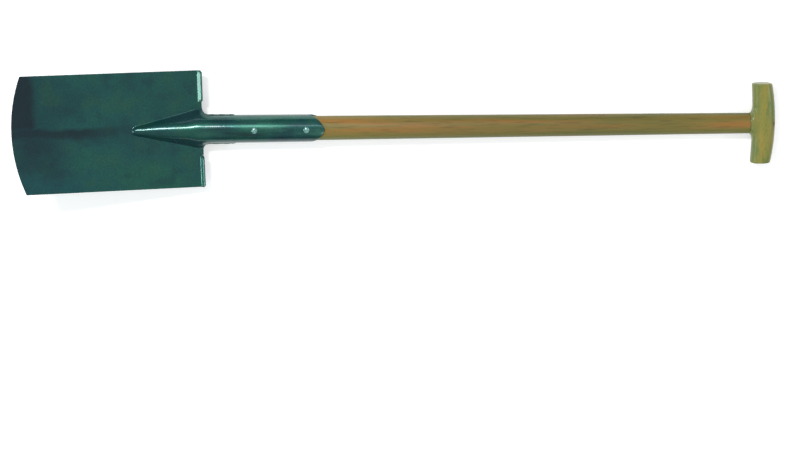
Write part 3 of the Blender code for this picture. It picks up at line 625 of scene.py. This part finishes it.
def blade_point(column, wing, along):
    """A point of the blade's front. Wing is None on the cone, or the width of a line beside it."""
    if wing is None:
        across, rise = section_point(column, along)
    else:
        share = (wing - CONE_BASE_HALF_WIDTH) / (BLADE_HALF_WIDTH - CONE_BASE_HALF_WIDTH)
        across = blend(cone_half_width(along), BLADE_HALF_WIDTH, share)
        rise = dish(across)
    fade = 1.0 - smooth_share(BLADE_LENGTH - along, 0.0, EDGE_ARC_RUN)
    back = EDGE_ARC_RADIUS - math.sqrt(EDGE_ARC_RADIUS ** 2 - across ** 2)
    return in_blade(along - back * fade, across, rise)


print("the cone is", round(cone_height(0.0) * 1000, 1), "mm high at the top edge")

# %% [markdown]
# ## The neck and the strap
# Between the treads the sheet is cut to a hollow curve on each side and closes round the shaft as a
# half tube, which ends in a rounded tongue. A narrow seam stays open between the two straps.

# %% Form of neck and strap
SEAM_HALF_GAP = 0.0012


def seam_angle(column):
    whole = math.pi / 2 - math.asin(SEAM_HALF_GAP / strap_radius(STRAP_END))
    return whole * column / ARCH


def strap_point(column, x):
    angle = seam_angle(column)
    radius = strap_radius(x)
    return Vector((x, radius * math.sin(angle), radius * math.cos(angle)))


def tongue_end(column):
    return blend(STRAP_SIDE_END, STRAP_END, 1.0 - (column / ARCH) ** 1.4)


def neck_point(column, wing):
    """The hollow curve from the notch to the side of the strap."""
    if wing is None and column <= ARCH:
        angle = math.pi / 2 * column / ARCH
        return strap_point(column, blend(NECK_SIDE_X, NECK_RIDGE_X, math.cos(angle)))
    if wing is None:
        across, rise = section_point(column, 0.0)
    else:
        across, rise = wing, dish(wing)
    point = in_blade(0.0, across, rise)
    side = strap_radius(NECK_SIDE_X)
    share = min(max((NOTCH_INNER - across) / (NOTCH_INNER - side), 0.0), 1.0)
    point.x = blend(point.x, NECK_SIDE_X, 1.0 - math.sqrt(1.0 - share * share))
    return point


def into_neck(column, wing, share):
    """A smooth line from blade to strap: it leaves along the cone and arrives along the shaft."""
    start = blade_point(column, wing, TREAD_BEND_LINE)
    end = neck_point(column, wing)
    if wing is not None:
        return start.lerp(end, share)
    bend = min(max((FILLET_END - column) / (FILLET_END - ARCH), 0.0), 1.0)
    reach = (end - start).length * bend
    leaving = (start - blade_point(column, wing, TREAD_BEND_LINE + 0.001)).normalized() * reach
    arriving = Vector((reach, 0.0, 0.0))
    leaving += (end - start) * (1.0 - bend)
    arriving += (end - start) * (1.0 - bend)
    square = share * share
    cube = square * share
    return (start * (2.0 * cube - 3.0 * square + 1.0) + leaving * (cube - 2.0 * square + share)
            + end * (3.0 * square - 2.0 * cube) + arriving * (cube - square))


print("the strap is", round(2000 * strap_radius(0.1), 1), "mm across")

# %% [markdown]
# ## The rows and columns of the sheet
# A press needs a blank. Here the blank is a grid whose lines are listed first: close together where
# the form turns, wide apart where it is plain.

# %% Rows and columns
def finer(values, parts):
    """Puts extra values between the given ones."""
    out = []
    for first, second in zip(values, values[1:]):
        out += [blend(first, second, step / parts) for step in range(parts)]
    return out + [values[-1]]


arch_columns = [(column, None) for column in finer(range(ARCH + 1), 3)]
fillet_columns = [(column, None) for column in finer(range(ARCH, FILLET_END + 1), 3)[1:]]
wing_columns = [(None, wing) for wing in (0.033, NOTCH_INNER, 0.038, NOTCH_OUTER)]
tread_lines = finer((TREAD_START, 0.053, 0.066, 0.079, BLADE_HALF_WIDTH), 2)
wing_columns += [(None, wing) for wing in tread_lines]
COLUMNS = arch_columns + fillet_columns + wing_columns
FIRST_TREAD_COLUMN = len(arch_columns) + len(fillet_columns) + 4
LAST_ARCH_COLUMN = len(arch_columns) - 1

edge_to_nose = finer((0.288, 0.2865, 0.282, 0.262, 0.228, 0.192, 0.158, 0.130, 0.115, CONE_LENGTH), 2)
nose = finer((CONE_LENGTH, 0.1065, 0.1045, 0.1015, 0.0975, CONE_NOSE_START), 3)[1:]
nose_to_top = finer((CONE_NOSE_START, 0.0710, 0.0470, 0.0260, 0.0120, TREAD_BEND_LINE), 4)[1:]
BLADE_ROWS = [("blade", along) for along in edge_to_nose + nose + nose_to_top]
NECK_ROWS = [("neck", step / 10) for step in range(1, 11)]
TUBE_ROWS = [("strap", x) for x in finer((0.016, 0.030, 0.052, 0.0834, 0.121, STRAP_BODY_END), 4)]
TONGUE_ROWS = [("tongue", share) for share in (0.2, 0.4, 0.6, 0.8, 1.0)]
ROWS = BLADE_ROWS + NECK_ROWS + TUBE_ROWS + TONGUE_ROWS
BEND_ROW = len(BLADE_ROWS) - 1
NECK_ROW = BEND_ROW + len(NECK_ROWS)
print("the blank has", len(ROWS), "rows and", 2 * len(COLUMNS) - 1, "columns")

# %% [markdown]
# ## Pressing a blank
# One function serves both straps. It adds a flat grid, moves every point to its place on the die, and
# deletes the cells that the real blank doesn't have. Points that fall together are merged.

# %% Press
def press(name, row_count, half_columns, place_of, has_cell, up):
    """A pressed sheet. place_of(row, column) gives a point, has_cell(row, column) keeps a cell, and
    up says whether its outside looks up (1) or down (-1)."""
    sheet = added(bpy.ops.mesh.primitive_grid_add, name, x_subdivisions=row_count,
                  y_subdivisions=2 * half_columns, size=2.0)
    sheet.data.name = name
    spots = {}
    for vertex in sheet.data.vertices:
        row = round((vertex.co.x + 1.0) / 2.0 * row_count)
        column = round(vertex.co.y * half_columns)
        spots[vertex.index] = (row, abs(column))
        point = place_of(row, abs(column))
        vertex.co = (point.x, math.copysign(point.y, column) if column else 0.0, point.z)
    bpy.ops.object.mode_set(mode="EDIT")
    bpy.ops.mesh.select_mode(type="FACE")
    bpy.ops.object.mode_set(mode="OBJECT")
    for face in sheet.data.polygons:
        corners = [spots[index] for index in face.vertices]
        face.select = not has_cell(min(row for row, _ in corners), min(column for _, column in corners))
    bpy.ops.object.mode_set(mode="EDIT")
    bpy.ops.mesh.delete(type="FACE")
    bpy.ops.mesh.select_all(action="SELECT")
    bpy.ops.mesh.remove_doubles(threshold=0.00002)
    bpy.ops.mesh.normals_make_consistent(inside=False)
    bpy.ops.object.mode_set(mode="OBJECT")
    level = max(sheet.data.polygons, key=lambda face: abs(face.normal.z) * face.area)
    if level.normal.z * up < 0.0:
        sheet.data.flip_normals()
    return sheet


def blade_place(row, column):
    kind, value = ROWS[row]
    arch, wing = COLUMNS[column]
    if kind == "blade":
        return blade_point(arch, wing, value)
    if kind == "neck":
        return into_neck(arch, wing, value)
    arch = ARCH if arch is None else min(arch, ARCH)
    if kind == "strap":
        return strap_point(arch, value)
    return strap_point(arch, blend(STRAP_BODY_END, tongue_end(arch), value))


def blade_cell(row, column):
    if row >= NECK_ROW:
        return column < LAST_ARCH_COLUMN
    return row < BEND_ROW or column < FIRST_TREAD_COLUMN


blade = press("blade_and_front_strap", len(ROWS) - 1, len(COLUMNS) - 1, blade_place, blade_cell, 1)
print("pressed blade:", len(blade.data.polygons), "cells")

# %% [markdown]
# ## Folding the treads
# The treads are folded out of the blade's top edge, where the foot pushes. A fold is an extrusion: the
# edge is drawn out in small steps that turn through the bend, and then in three steps for the flange.
# Its corners are pulled in, as the real ones are clipped. A press is never quite even: the left flange
# is flat, and the right one has a shallow wave, which the light shows as two bright lines.

# %% Treads
TREAD_BEND_RADIUS = 0.003
TREAD_CHAMFER = 0.003
BEND_STEPS = 6
FLANGES = {1: ((0.0026, 40), (0.0026, 40), (0.0026, 40)),
           -1: ((0.0017, 39), (0.0032, 54), (0.0025, 39))}


def free_edges(piece):
    """The edges with a face on one side only, as pairs of point numbers."""
    use = {}
    for face in piece.data.polygons:
        for key in face.edge_keys:
            use[key] = use.get(key, 0) + 1
    return {key for key, count in use.items() if count == 1}


only(blade)
bend_x = blade_point(None, 0.066, TREAD_BEND_LINE).x
clipped = 0
for side, flange in FLANGES.items():
    bpy.ops.object.mode_set(mode="EDIT")
    bpy.ops.mesh.select_mode(type="EDGE")
    bpy.ops.mesh.select_all(action="DESELECT")
    bpy.ops.object.mode_set(mode="OBJECT")
    free = free_edges(blade)
    for edge in blade.data.edges:
        ends = [blade.data.vertices[index].co for index in edge.vertices]
        on_bend = all(side * end.y > TREAD_START - 0.0001 and end.x > bend_x - 0.0025 for end in ends)
        across = abs(ends[0].y - ends[1].y) > 0.001
        edge.select = on_bend and across and tuple(sorted(edge.vertices)) in free
    bpy.ops.object.mode_set(mode="EDIT")
    turn = math.radians(flange[0][1]) / BEND_STEPS
    steps = [(TREAD_BEND_RADIUS * turn, (step + 0.5) * turn) for step in range(BEND_STEPS)]
    steps += [(length, math.radians(angle)) for length, angle in flange]
    for length, angle in steps:
        step = in_blade(-length * math.cos(angle), 0.0, length * math.sin(angle))
        step -= in_blade(0.0, 0.0, 0.0)
        bpy.ops.mesh.extrude_region_move(TRANSFORM_OT_translate={"value": step})
    bpy.ops.object.mode_set(mode="OBJECT")
    for vertex in blade.data.vertices:
        for corner, inward in ((TREAD_START, TREAD_CHAMFER), (BLADE_HALF_WIDTH, -TREAD_CHAMFER)):
            if vertex.select and abs(abs(vertex.co.y) - corner) < 0.0001:
                vertex.co.y += side * inward
                clipped += 1
print("tread corners clipped:", clipped)

# %% [markdown]
# ## Dressing the neck
# Where cone, blade and strap meet, the press leaves soft creases, and a hammer takes them out. Here the
# points of the neck are evened out by a Smooth modifier. A vertex group gives it full strength in the
# middle of the neck and none at its ends, and leaves out the points on the cut edges.

# %% Neck
on_cut = {index for key in free_edges(blade) for index in key}
neck = blade.vertex_groups.new(name="neck")
for vertex in blade.data.vertices:
    x, y = vertex.co.x, abs(vertex.co.y)
    share = smooth_share(x, -0.040, -0.016) * (1.0 - smooth_share(x, 0.012, 0.036))
    share *= 1.0 - smooth_share(y, 0.026, 0.034)
    if share > 0.0 and vertex.index not in on_cut:
        neck.add([vertex.index], share, "REPLACE")
finish_with(blade, "SMOOTH", factor=0.5, iterations=26, vertex_group="neck")
print("points on the blade's cut edges:", len(on_cut))

# %% [markdown]
# ## Giving the blade its thickness
# The sheet is 2 mm thick, ground thinner at the cutting edge. Solidify lays the thickness on the back,
# so the front stays where the die put it. A small bevel then takes the sharpness off every cut edge,
# which is what catches the light on a real sheet. The rivet holes are drilled last.

# %% Blade thickness
GROUND_LENGTH = 0.0035
HOLE_RADIUS = 0.0028


def combine(piece, other, operation="DIFFERENCE"):
    """Cuts another body out of a piece, or joins the two, and takes the other away."""
    finish_with(piece, "BOOLEAN", operation=operation, solver="EXACT", object=other)
    bpy.data.objects.remove(other)


def drill(piece):
    """Cuts the two rivet holes through a piece, square to the shaft."""
    for x in RIVET_X:
        combine(piece, added(bpy.ops.mesh.primitive_cylinder_add, "drill", vertices=32,
                             radius=HOLE_RADIUS, depth=0.08, location=(x, 0.0, 0.0)))


def thicken(sheet, **thinner):
    """Lays the thickness on the inside of a sheet, bevels its edges and drills its holes."""
    finish_with(sheet, "SOLIDIFY", thickness=SHEET, offset=-1.0, use_even_offset=True, **thinner)
    finish_with(sheet, "BEVEL", width=0.0007, segments=3, limit_method="ANGLE",
                angle_limit=math.radians(50.0), use_clamp_overlap=True)
    drill(sheet)


thickness = blade.vertex_groups.new(name="sheet")
for vertex in blade.data.vertices:
    back = EDGE_ARC_RADIUS - math.sqrt(EDGE_ARC_RADIUS ** 2 - vertex.co.y ** 2)
    ground = back - vertex.co.x / math.cos(LIFT) > BLADE_LENGTH - GROUND_LENGTH
    thickness.add([vertex.index], 0.5 if ground else 1.0, "REPLACE")
thicken(blade, vertex_group="sheet")
lay_down(blade, blade_lacquer, "blade")

# %% [markdown]
# ## The rear strap
# The rear strap is a second pressed sheet. It starts as a pointed foot on the blade's back, covers the
# hollow of the cone like a keel, and closes round the back of the shaft with the same tongue.

# %% Form of the rear strap
REAR_SIDE_START = 0.0115
HEEL_SWELL = 0.0026
HEEL_SWELL_END = 0.080
KEEL = 6
KEEL_DEPTH = 0.0126
KEEL_END = 0.078
KEEL_FADE_START = -0.020
KEEL_HALF_WIDTH = 0.0185
KEEL_TIP_HALF_WIDTH = 0.004
LAP = 0.005
HEEL_HALF_WIDTH = 0.0230
FOOT_END = 0.122
REAR_LOW = -(2.0 * SHEET + FIT)


def rear_point(column, x):
    angle = seam_angle(column)
    swell = HEEL_SWELL * (1.0 - smooth_share(x, REAR_SIDE_START, HEEL_SWELL_END))
    radius = strap_radius(x) + swell * math.cos(angle) ** 2
    return Vector((x, radius * math.sin(angle), -radius * math.cos(angle)))


def foot_point(column, along):
    """A point under the blade: a keel in the middle and a flat lap beside it."""
    keel_share = 1.0 - smooth_share(along, KEEL_FADE_START, KEEL_END)
    keel_share = keel_share / (1.0 - smooth_share(0.0, KEEL_FADE_START, KEEL_END))
    end_share = along / FOOT_END
    keel_width = blend(KEEL_HALF_WIDTH, KEEL_TIP_HALF_WIDTH, end_share ** 0.9)
    lap_width = cone_half_width(min(along, CONE_LENGTH)) + LAP * (1.0 - 0.3 * end_share)
    if along <= 0.0:
        lap_width = HEEL_HALF_WIDTH
    if column > KEEL:
        across = blend(keel_width, lap_width, (column - KEEL) / (ARCH - KEEL))
        return in_blade(along, across, REAR_LOW + dish(across))
    limit = math.cos(seam_angle(KEEL))
    angle = seam_angle(column)
    across = keel_width * math.sin(angle) / math.sin(seam_angle(KEEL))
    drop = KEEL_DEPTH * keel_share * (math.cos(angle) - limit) / (1.0 - limit)
    return in_blade(along, across, REAR_LOW - drop + dish(across))


REAR_COLUMNS = finer(range(ARCH + 1), 3)
FOOT_ROWS = [("tip", share) for share in (1.0, 0.8, 0.6, 0.4, 0.2)]
FOOT_ROWS += [("foot", along) for along in finer((CONE_LENGTH, KEEL_END, 0.050, 0.023, 0.0), 4)]
START_ROWS = [("start", share) for share in (0.33, 0.67)]
tube_lines = finer((REAR_SIDE_START, 0.030, 0.052, 0.0834, 0.121, STRAP_BODY_END), 4)
REAR_ROWS = FOOT_ROWS + START_ROWS + [("tube", x) for x in tube_lines] + TONGUE_ROWS
print("the rear strap has", len(REAR_ROWS), "rows")

# %% [markdown]
# ## Pressing the rear strap
# The same press makes it. Its outside faces the floor, so the thickness goes upward, toward the shaft.

# %% Rear strap
def rear_place(row, column):
    kind, value = REAR_ROWS[row]
    column = REAR_COLUMNS[column]
    if kind == "foot":
        return foot_point(column, value)
    if kind == "tip":
        first = foot_point(column, CONE_LENGTH)
        share = first.y / foot_point(ARCH, CONE_LENGTH).y
        along = blend(CONE_LENGTH, FOOT_END, 1.0 - share ** 1.6)
        return first.lerp(in_blade(along, first.y, REAR_LOW + dish(first.y)), value)
    if kind == "start":
        return foot_point(column, 0.0).lerp(rear_point(column, REAR_SIDE_START), value)
    if kind == "tube":
        return rear_point(column, value)
    return rear_point(column, blend(STRAP_BODY_END, tongue_end(column), value))


rear = press("rear_strap_sheet", len(REAR_ROWS) - 1, len(REAR_COLUMNS) - 1, rear_place,
             lambda row, column: True, -1)
thicken(rear)
lay_down(rear, strap_lacquer, "rear_strap", 60.0)

# %% [markdown]
# ## Drawing a body ring by ring
# The shaft, the grip, the rivets and the weld beads are all long round bodies. By hand, each would
# start as a filled circle that is extruded and scaled again and again. One function does that from a
# list of sections: the place along the body, the centre, and the two half sizes.

# %% Ring by ring
def drawn(name, axis, sections, vertices=64, squareness=1.0):
    """A closed body along an axis. Each section is (centre, half sizes in X, Y and Z)."""
    body = added(bpy.ops.mesh.primitive_circle_add, name, vertices=vertices, radius=1.0,
                 fill_type="NGON")
    body.data.name = name
    centre, half = sections[0]
    for vertex in body.data.vertices:
        u = math.copysign(abs(vertex.co.x) ** squareness, vertex.co.x)
        v = math.copysign(abs(vertex.co.y) ** squareness, vertex.co.y)
        unit = {"X": (0.0, u, v), "Y": (u, 0.0, v), "Z": (u, v, 0.0)}[axis]
        vertex.co = [centre[i] + half[i] * unit[i] for i in range(3)]
    bpy.ops.object.mode_set(mode="EDIT")
    bpy.ops.mesh.select_all(action="SELECT")
    for (old_centre, old), (centre, new) in zip(sections, sections[1:]):
        step = Vector(centre) - Vector(old_centre)
        bpy.ops.mesh.extrude_region_move(TRANSFORM_OT_translate={"value": step})
        growth = [n / o if o else 1.0 for n, o in zip(new, old)]
        bpy.ops.transform.resize(value=growth, center_override=centre)
    bpy.ops.mesh.select_all(action="SELECT")
    bpy.ops.mesh.normals_make_consistent(inside=False)
    bpy.ops.object.mode_set(mode="OBJECT")
    return body


# %% [markdown]
# ## The seam welds
# Near the blade the two straps are welded together along both sides. A weld bead is a row of small
# overlapping drops, so the sections swell and shrink every two and a half millimetres. It starts lower
# and wider, in the corner under the blade. Each drop is bowed as it freezes, and the inner side is
# pressed onto the tube, because a bead lies on the metal and not inside it.

# %% Weld beads
WELD_START = -0.0022
WELD_CORNER = 0.0105
WELD_END = 0.052
DROP_LENGTH = 0.0026
BEAD_RINGS = 116


def bead_section(share, side):
    x = blend(WELD_START, WELD_END, share)
    drop = abs(math.sin(math.pi * (x - WELD_START) / DROP_LENGTH + 0.3 * side))
    uneven = 0.12 * math.sin(410.0 * x + side) + 0.08 * math.sin(1130.0 * x)
    ends = min(1.0, 6.0 * share + 0.20, 10.0 * (1.0 - share) + 0.30)
    start = max((WELD_CORNER - x) / 0.010, 0.0)
    proud = (0.00095 + 0.00055 * drop) * (1.0 + uneven) * ends
    width = (0.0022 + 0.0005 * drop) * (1.0 + 0.5 * uneven) * (0.70 + 0.30 * ends) + 0.0010 * start
    centre = (x, side * (strap_radius(x) + 0.0001 + 0.0020 * start), -0.0072 * start)
    return centre, (0.0, proud, width)


for side, name in ((1.0, "left_weld"), (-1.0, "right_weld")):
    sections = [bead_section(step / BEAD_RINGS, side) for step in range(BEAD_RINGS + 1)]
    bead = drawn(name + "_bead", "X", sections, vertices=24)
    for vertex in bead.data.vertices:
        if vertex.co.x > WELD_CORNER:
            vertex.co.x -= 0.0009 * (vertex.co.z / 0.0027) ** 2
        reach = math.hypot(vertex.co.y, vertex.co.z)
        least = strap_radius(vertex.co.x) + 0.00012
        if reach < least:
            vertex.co.y *= least / reach
            vertex.co.z *= least / reach
    lay_down(bead, strap_lacquer, name, 60.0)

# %% [markdown]
# ## The rivets
# Each rivet goes through both straps and the shaft. Its head is a low dome on the front, and its tail
# is hammered flat on the back. It is drawn along Z from the dome to the tail.

# %% Rivets
HEAD_RADIUS = 0.0045
HEAD_HEIGHT = 0.0022
SHANK_RADIUS = 0.0025
HEAD_STEPS = 12.4


def rivet(name, node, x):
    top = strap_radius(x) + 0.0002
    outline = []
    for step in range(12):
        share = (step + 0.4) / HEAD_STEPS
        outline.append((HEAD_RADIUS * share, top + HEAD_HEIGHT * (1.0 - share ** 2.4) ** 0.75))
    outline += [(HEAD_RADIUS, top + 0.00015), (0.0046, top), (SHANK_RADIUS, top), (SHANK_RADIUS, -top),
                (0.0041, -top), (0.0042, -top - 0.0002), (0.0038, -top - 0.0005),
                (0.0026, -top - 0.0007)]
    sections = [((x, 0.0, z), (radius, radius, 0.0)) for radius, z in outline]
    lay_down(drawn(name, "Z", sections, vertices=40), rivet_finish, node, 50.0)


rivet("lower_rivet_solid", "lower_rivet", RIVET_X[0])
rivet("upper_rivet_solid", "upper_rivet", RIVET_X[1])

# %% [markdown]
# ## The shaft
# The shaft is one long body: a shaped end that fills the cone, a swelling at the heel, a slow taper,
# and a thinner tenon that goes through the grip. Only the taper shows, but the ends are made too,
# because the spade may be taken apart.

# %% Shaft
SHAFT_TIP_X = -0.084
SHOULDER_X = 0.8362
TENON_RADIUS = 0.011
TENON_END_X = 0.8728

# The shaped end, from its tip to the heel: how far along, then top, bottom and half width as shares
# of the shaft's radius.
SHAPED_END = ((0.000, 0.904, 0.590, 0.134), (0.036, 0.934, 0.513, 0.205),
              (0.167, 0.970, 0.323, 0.359), (0.381, 0.981, 0.005, 0.513),
              (0.595, 0.981, -0.416, 0.640), (0.810, 0.981, -0.837, 0.752),
              (0.976, 0.986, -1.047, 0.880))
radius = shaft_radius(0.0)
sections = []
for share, top, bottom, half_width in SHAPED_END:
    centre = (blend(SHAFT_TIP_X, 0.0, share), 0.0, radius * (top + bottom) / 2.0)
    sections.append((centre, (0.0, radius * half_width, radius * (top - bottom) / 2.0)))
for x in (0.0135, 0.030, 0.055, HEEL_SWELL_END):
    swell = HEEL_SWELL * (1.0 - smooth_share(x, REAR_SIDE_START, HEEL_SWELL_END))
    r = shaft_radius(x)
    sections.append(((x, 0.0, -swell / 2.0), (0.0, r, r + swell / 2.0)))
taper = finer((0.120, STRAP_END, 0.300, 0.420, 0.550, 0.680, 0.780, SHOULDER_X), 2)
rounds = [(x, shaft_radius(x)) for x in taper]
rounds += [(x, TENON_RADIUS) for x in (SHOULDER_X + 0.0002, 0.860, TENON_END_X)]
rounds += [(0.8760, r) for r in (0.0106, 0.0090, 0.0060, 0.0030, 0.0004)]
sections += [((x, 0.0, 0.0), (0.0, r, r)) for x, r in rounds]
shaft = drawn("shaft_wood", "X", sections, vertices=96)
drill(shaft)
print("the shaft is", round((TENON_END_X - SHAFT_TIP_X) * 1000), "mm long with its tenon")

# %% [markdown]
# ## The grip
# The grip is bowed on its outer side, nearly straight on its inner side, and oval in section. Round
# the shaft it flares into a low boss. The two bodies are joined, remeshed into one skin and smoothed,
# so that the boss flows into the grip as sanded wood does. Then the bore is cut for the tenon.

# %% Grip
GRIP_HALF_LENGTH = 0.0607
GRIP_HALF_THICKNESS = 0.0153
GRIP_END_ROUND = 0.0016
GRIP_OUTER_X = 0.8750
GRIP_OUTER_BOW = 0.0060
GRIP_INNER_X = 0.8412
GRIP_INNER_BOW = 0.0022
GRIP_SQUARENESS = 0.86
BOSS_HALF_WIDTH = 0.029
BOSS_START_X = 0.8365
BOSS_FULL_X = 0.8414


def grip_section(y, shrink):
    share = (y / GRIP_HALF_LENGTH) ** 2
    outer = GRIP_OUTER_X - GRIP_OUTER_BOW * share - shrink
    inner = GRIP_INNER_X - GRIP_INNER_BOW * share + shrink
    return ((outer + inner) / 2.0, y, 0.0), ((outer - inner) / 2.0, 0.0, GRIP_HALF_THICKNESS - shrink)


flat = GRIP_HALF_LENGTH - GRIP_END_ROUND
end = []
for step in range(6):
    angle = math.pi / 2 * step / 6
    end.append((flat + GRIP_END_ROUND * math.cos(angle), GRIP_END_ROUND * (1.0 - math.sin(angle))))
sections = [grip_section(-y, shrink) for y, shrink in end]
middle = finer((-flat, -0.036, -0.018, 0.0, 0.018, 0.036, flat), 3)
sections += [grip_section(y, 0.0) for y in middle]
sections += [grip_section(y, shrink) for y, shrink in reversed(end)]
grip = drawn("t_grip_wood", "Y", sections, vertices=72, squareness=GRIP_SQUARENESS)

boss_sections = []
for share in (0.0, 0.25, 0.45, 0.62, 0.76, 0.87, 0.95, 1.0):
    wide = blend(0.0162, BOSS_HALF_WIDTH, 1.0 - math.sqrt(1.0 - share * share))
    x = blend(BOSS_START_X, BOSS_FULL_X, share)
    boss_sections.append(((x, 0.0, 0.0), (0.0, wide, GRIP_HALF_THICKNESS)))
boss_sections.append(((0.8480, 0.0, 0.0), (0.0, BOSS_HALF_WIDTH, GRIP_HALF_THICKNESS * 0.93)))
boss = drawn("grip_boss_shape", "X", boss_sections, vertices=72)
combine(grip, boss, "UNION")
finish_with(grip, "REMESH", mode="VOXEL", voxel_size=0.0008)
finish_with(grip, "SMOOTH", factor=0.5, iterations=9)
print("the grip's skin has", len(grip.data.polygons), "faces")

# %% [markdown]
# ## The bore and the end of the tenon
# The bore is a little wider than the tenon. The tenon's end is cut to the curve of the grip, as it is
# on the bench after gluing: each of its end points is moved onto the grip's own outer curve.

# %% Bore and tenon end
combine(grip, added(bpy.ops.mesh.primitive_cylinder_add, "bore", vertices=64,
                    radius=TENON_RADIUS + FIT, depth=0.09, location=(GRIP_X, 0.0, 0.0),
                    rotation=(0.0, math.pi / 2, 0.0)))


def outer_face(z):
    """X of the grip's outside at the shaft's middle, for a height above its axis."""
    share = min(abs(z) / GRIP_HALF_THICKNESS, 1.0) ** (1.0 / GRIP_SQUARENESS)
    half = (GRIP_OUTER_X - GRIP_INNER_X) / 2.0
    return GRIP_OUTER_X - half + half * math.sqrt(1.0 - share * share) ** GRIP_SQUARENESS


for vertex in shaft.data.vertices:
    if vertex.co.x > 0.8730:
        bow = GRIP_OUTER_BOW * (vertex.co.y / GRIP_HALF_LENGTH) ** 2
        vertex.co.x = outer_face(vertex.co.z) - 0.0002 - bow
print("the tenon ends at", round(outer_face(0.0) * 1000, 1), "mm from the blade's top edge")

# %% [markdown]
# ## The wedge
# A wooden wedge is driven into a saw cut in the tenon and spreads it in the bore. Both are tapered
# blocks: the wedge is cut to the grip's curve like the tenon, and a slightly larger one makes the cut.

# %% Wedge
def tapered_block(name, inner_x, outer_x, inner_thickness, outer_thickness, breadth):
    block = added(bpy.ops.mesh.primitive_cube_add, name, size=1.0)
    for vertex in block.data.vertices:
        outer = vertex.co.x > 0.0
        vertex.co.x = outer_x if outer else inner_x
        vertex.co.y *= outer_thickness if outer else inner_thickness
        vertex.co.z *= breadth
    return block


wedge = tapered_block("tenon_wedge", 0.851, 0.8760, 0.0018, 0.0046, 0.0212)
bpy.ops.object.mode_set(mode="EDIT")
bpy.ops.mesh.select_all(action="SELECT")
bpy.ops.mesh.subdivide(number_cuts=8)
bpy.ops.object.mode_set(mode="OBJECT")
for vertex in wedge.data.vertices:
    vertex.co.x = min(vertex.co.x, outer_face(vertex.co.z) - 0.0001)

saw_cut = tapered_block("saw_cut", 0.8495, 0.880, 0.0024, 0.0053, 0.030)
combine(shaft, saw_cut)

lay_down(grip, grip_wood, "t_grip", 40.0)
lay_down(shaft, ash, "shaft")
lay_down(wedge, wedge_wood, "grip_wedge")

# %% [markdown]
# ## Sizes at the end
# The sizes of the box of the finished pieces and of the box of the imported model are printed one
# under the other.

seen_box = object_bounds()
boxes = {"cad": [[float(value) for value in corner] for corner in cad_box],
         "visual": [[float(value) for value in corner] for corner in seen_box]}
for name, (low, high) in boxes.items():
    print(name, "size in mm:", [round((b - a) * 1000, 1) for a, b in zip(low, high)])
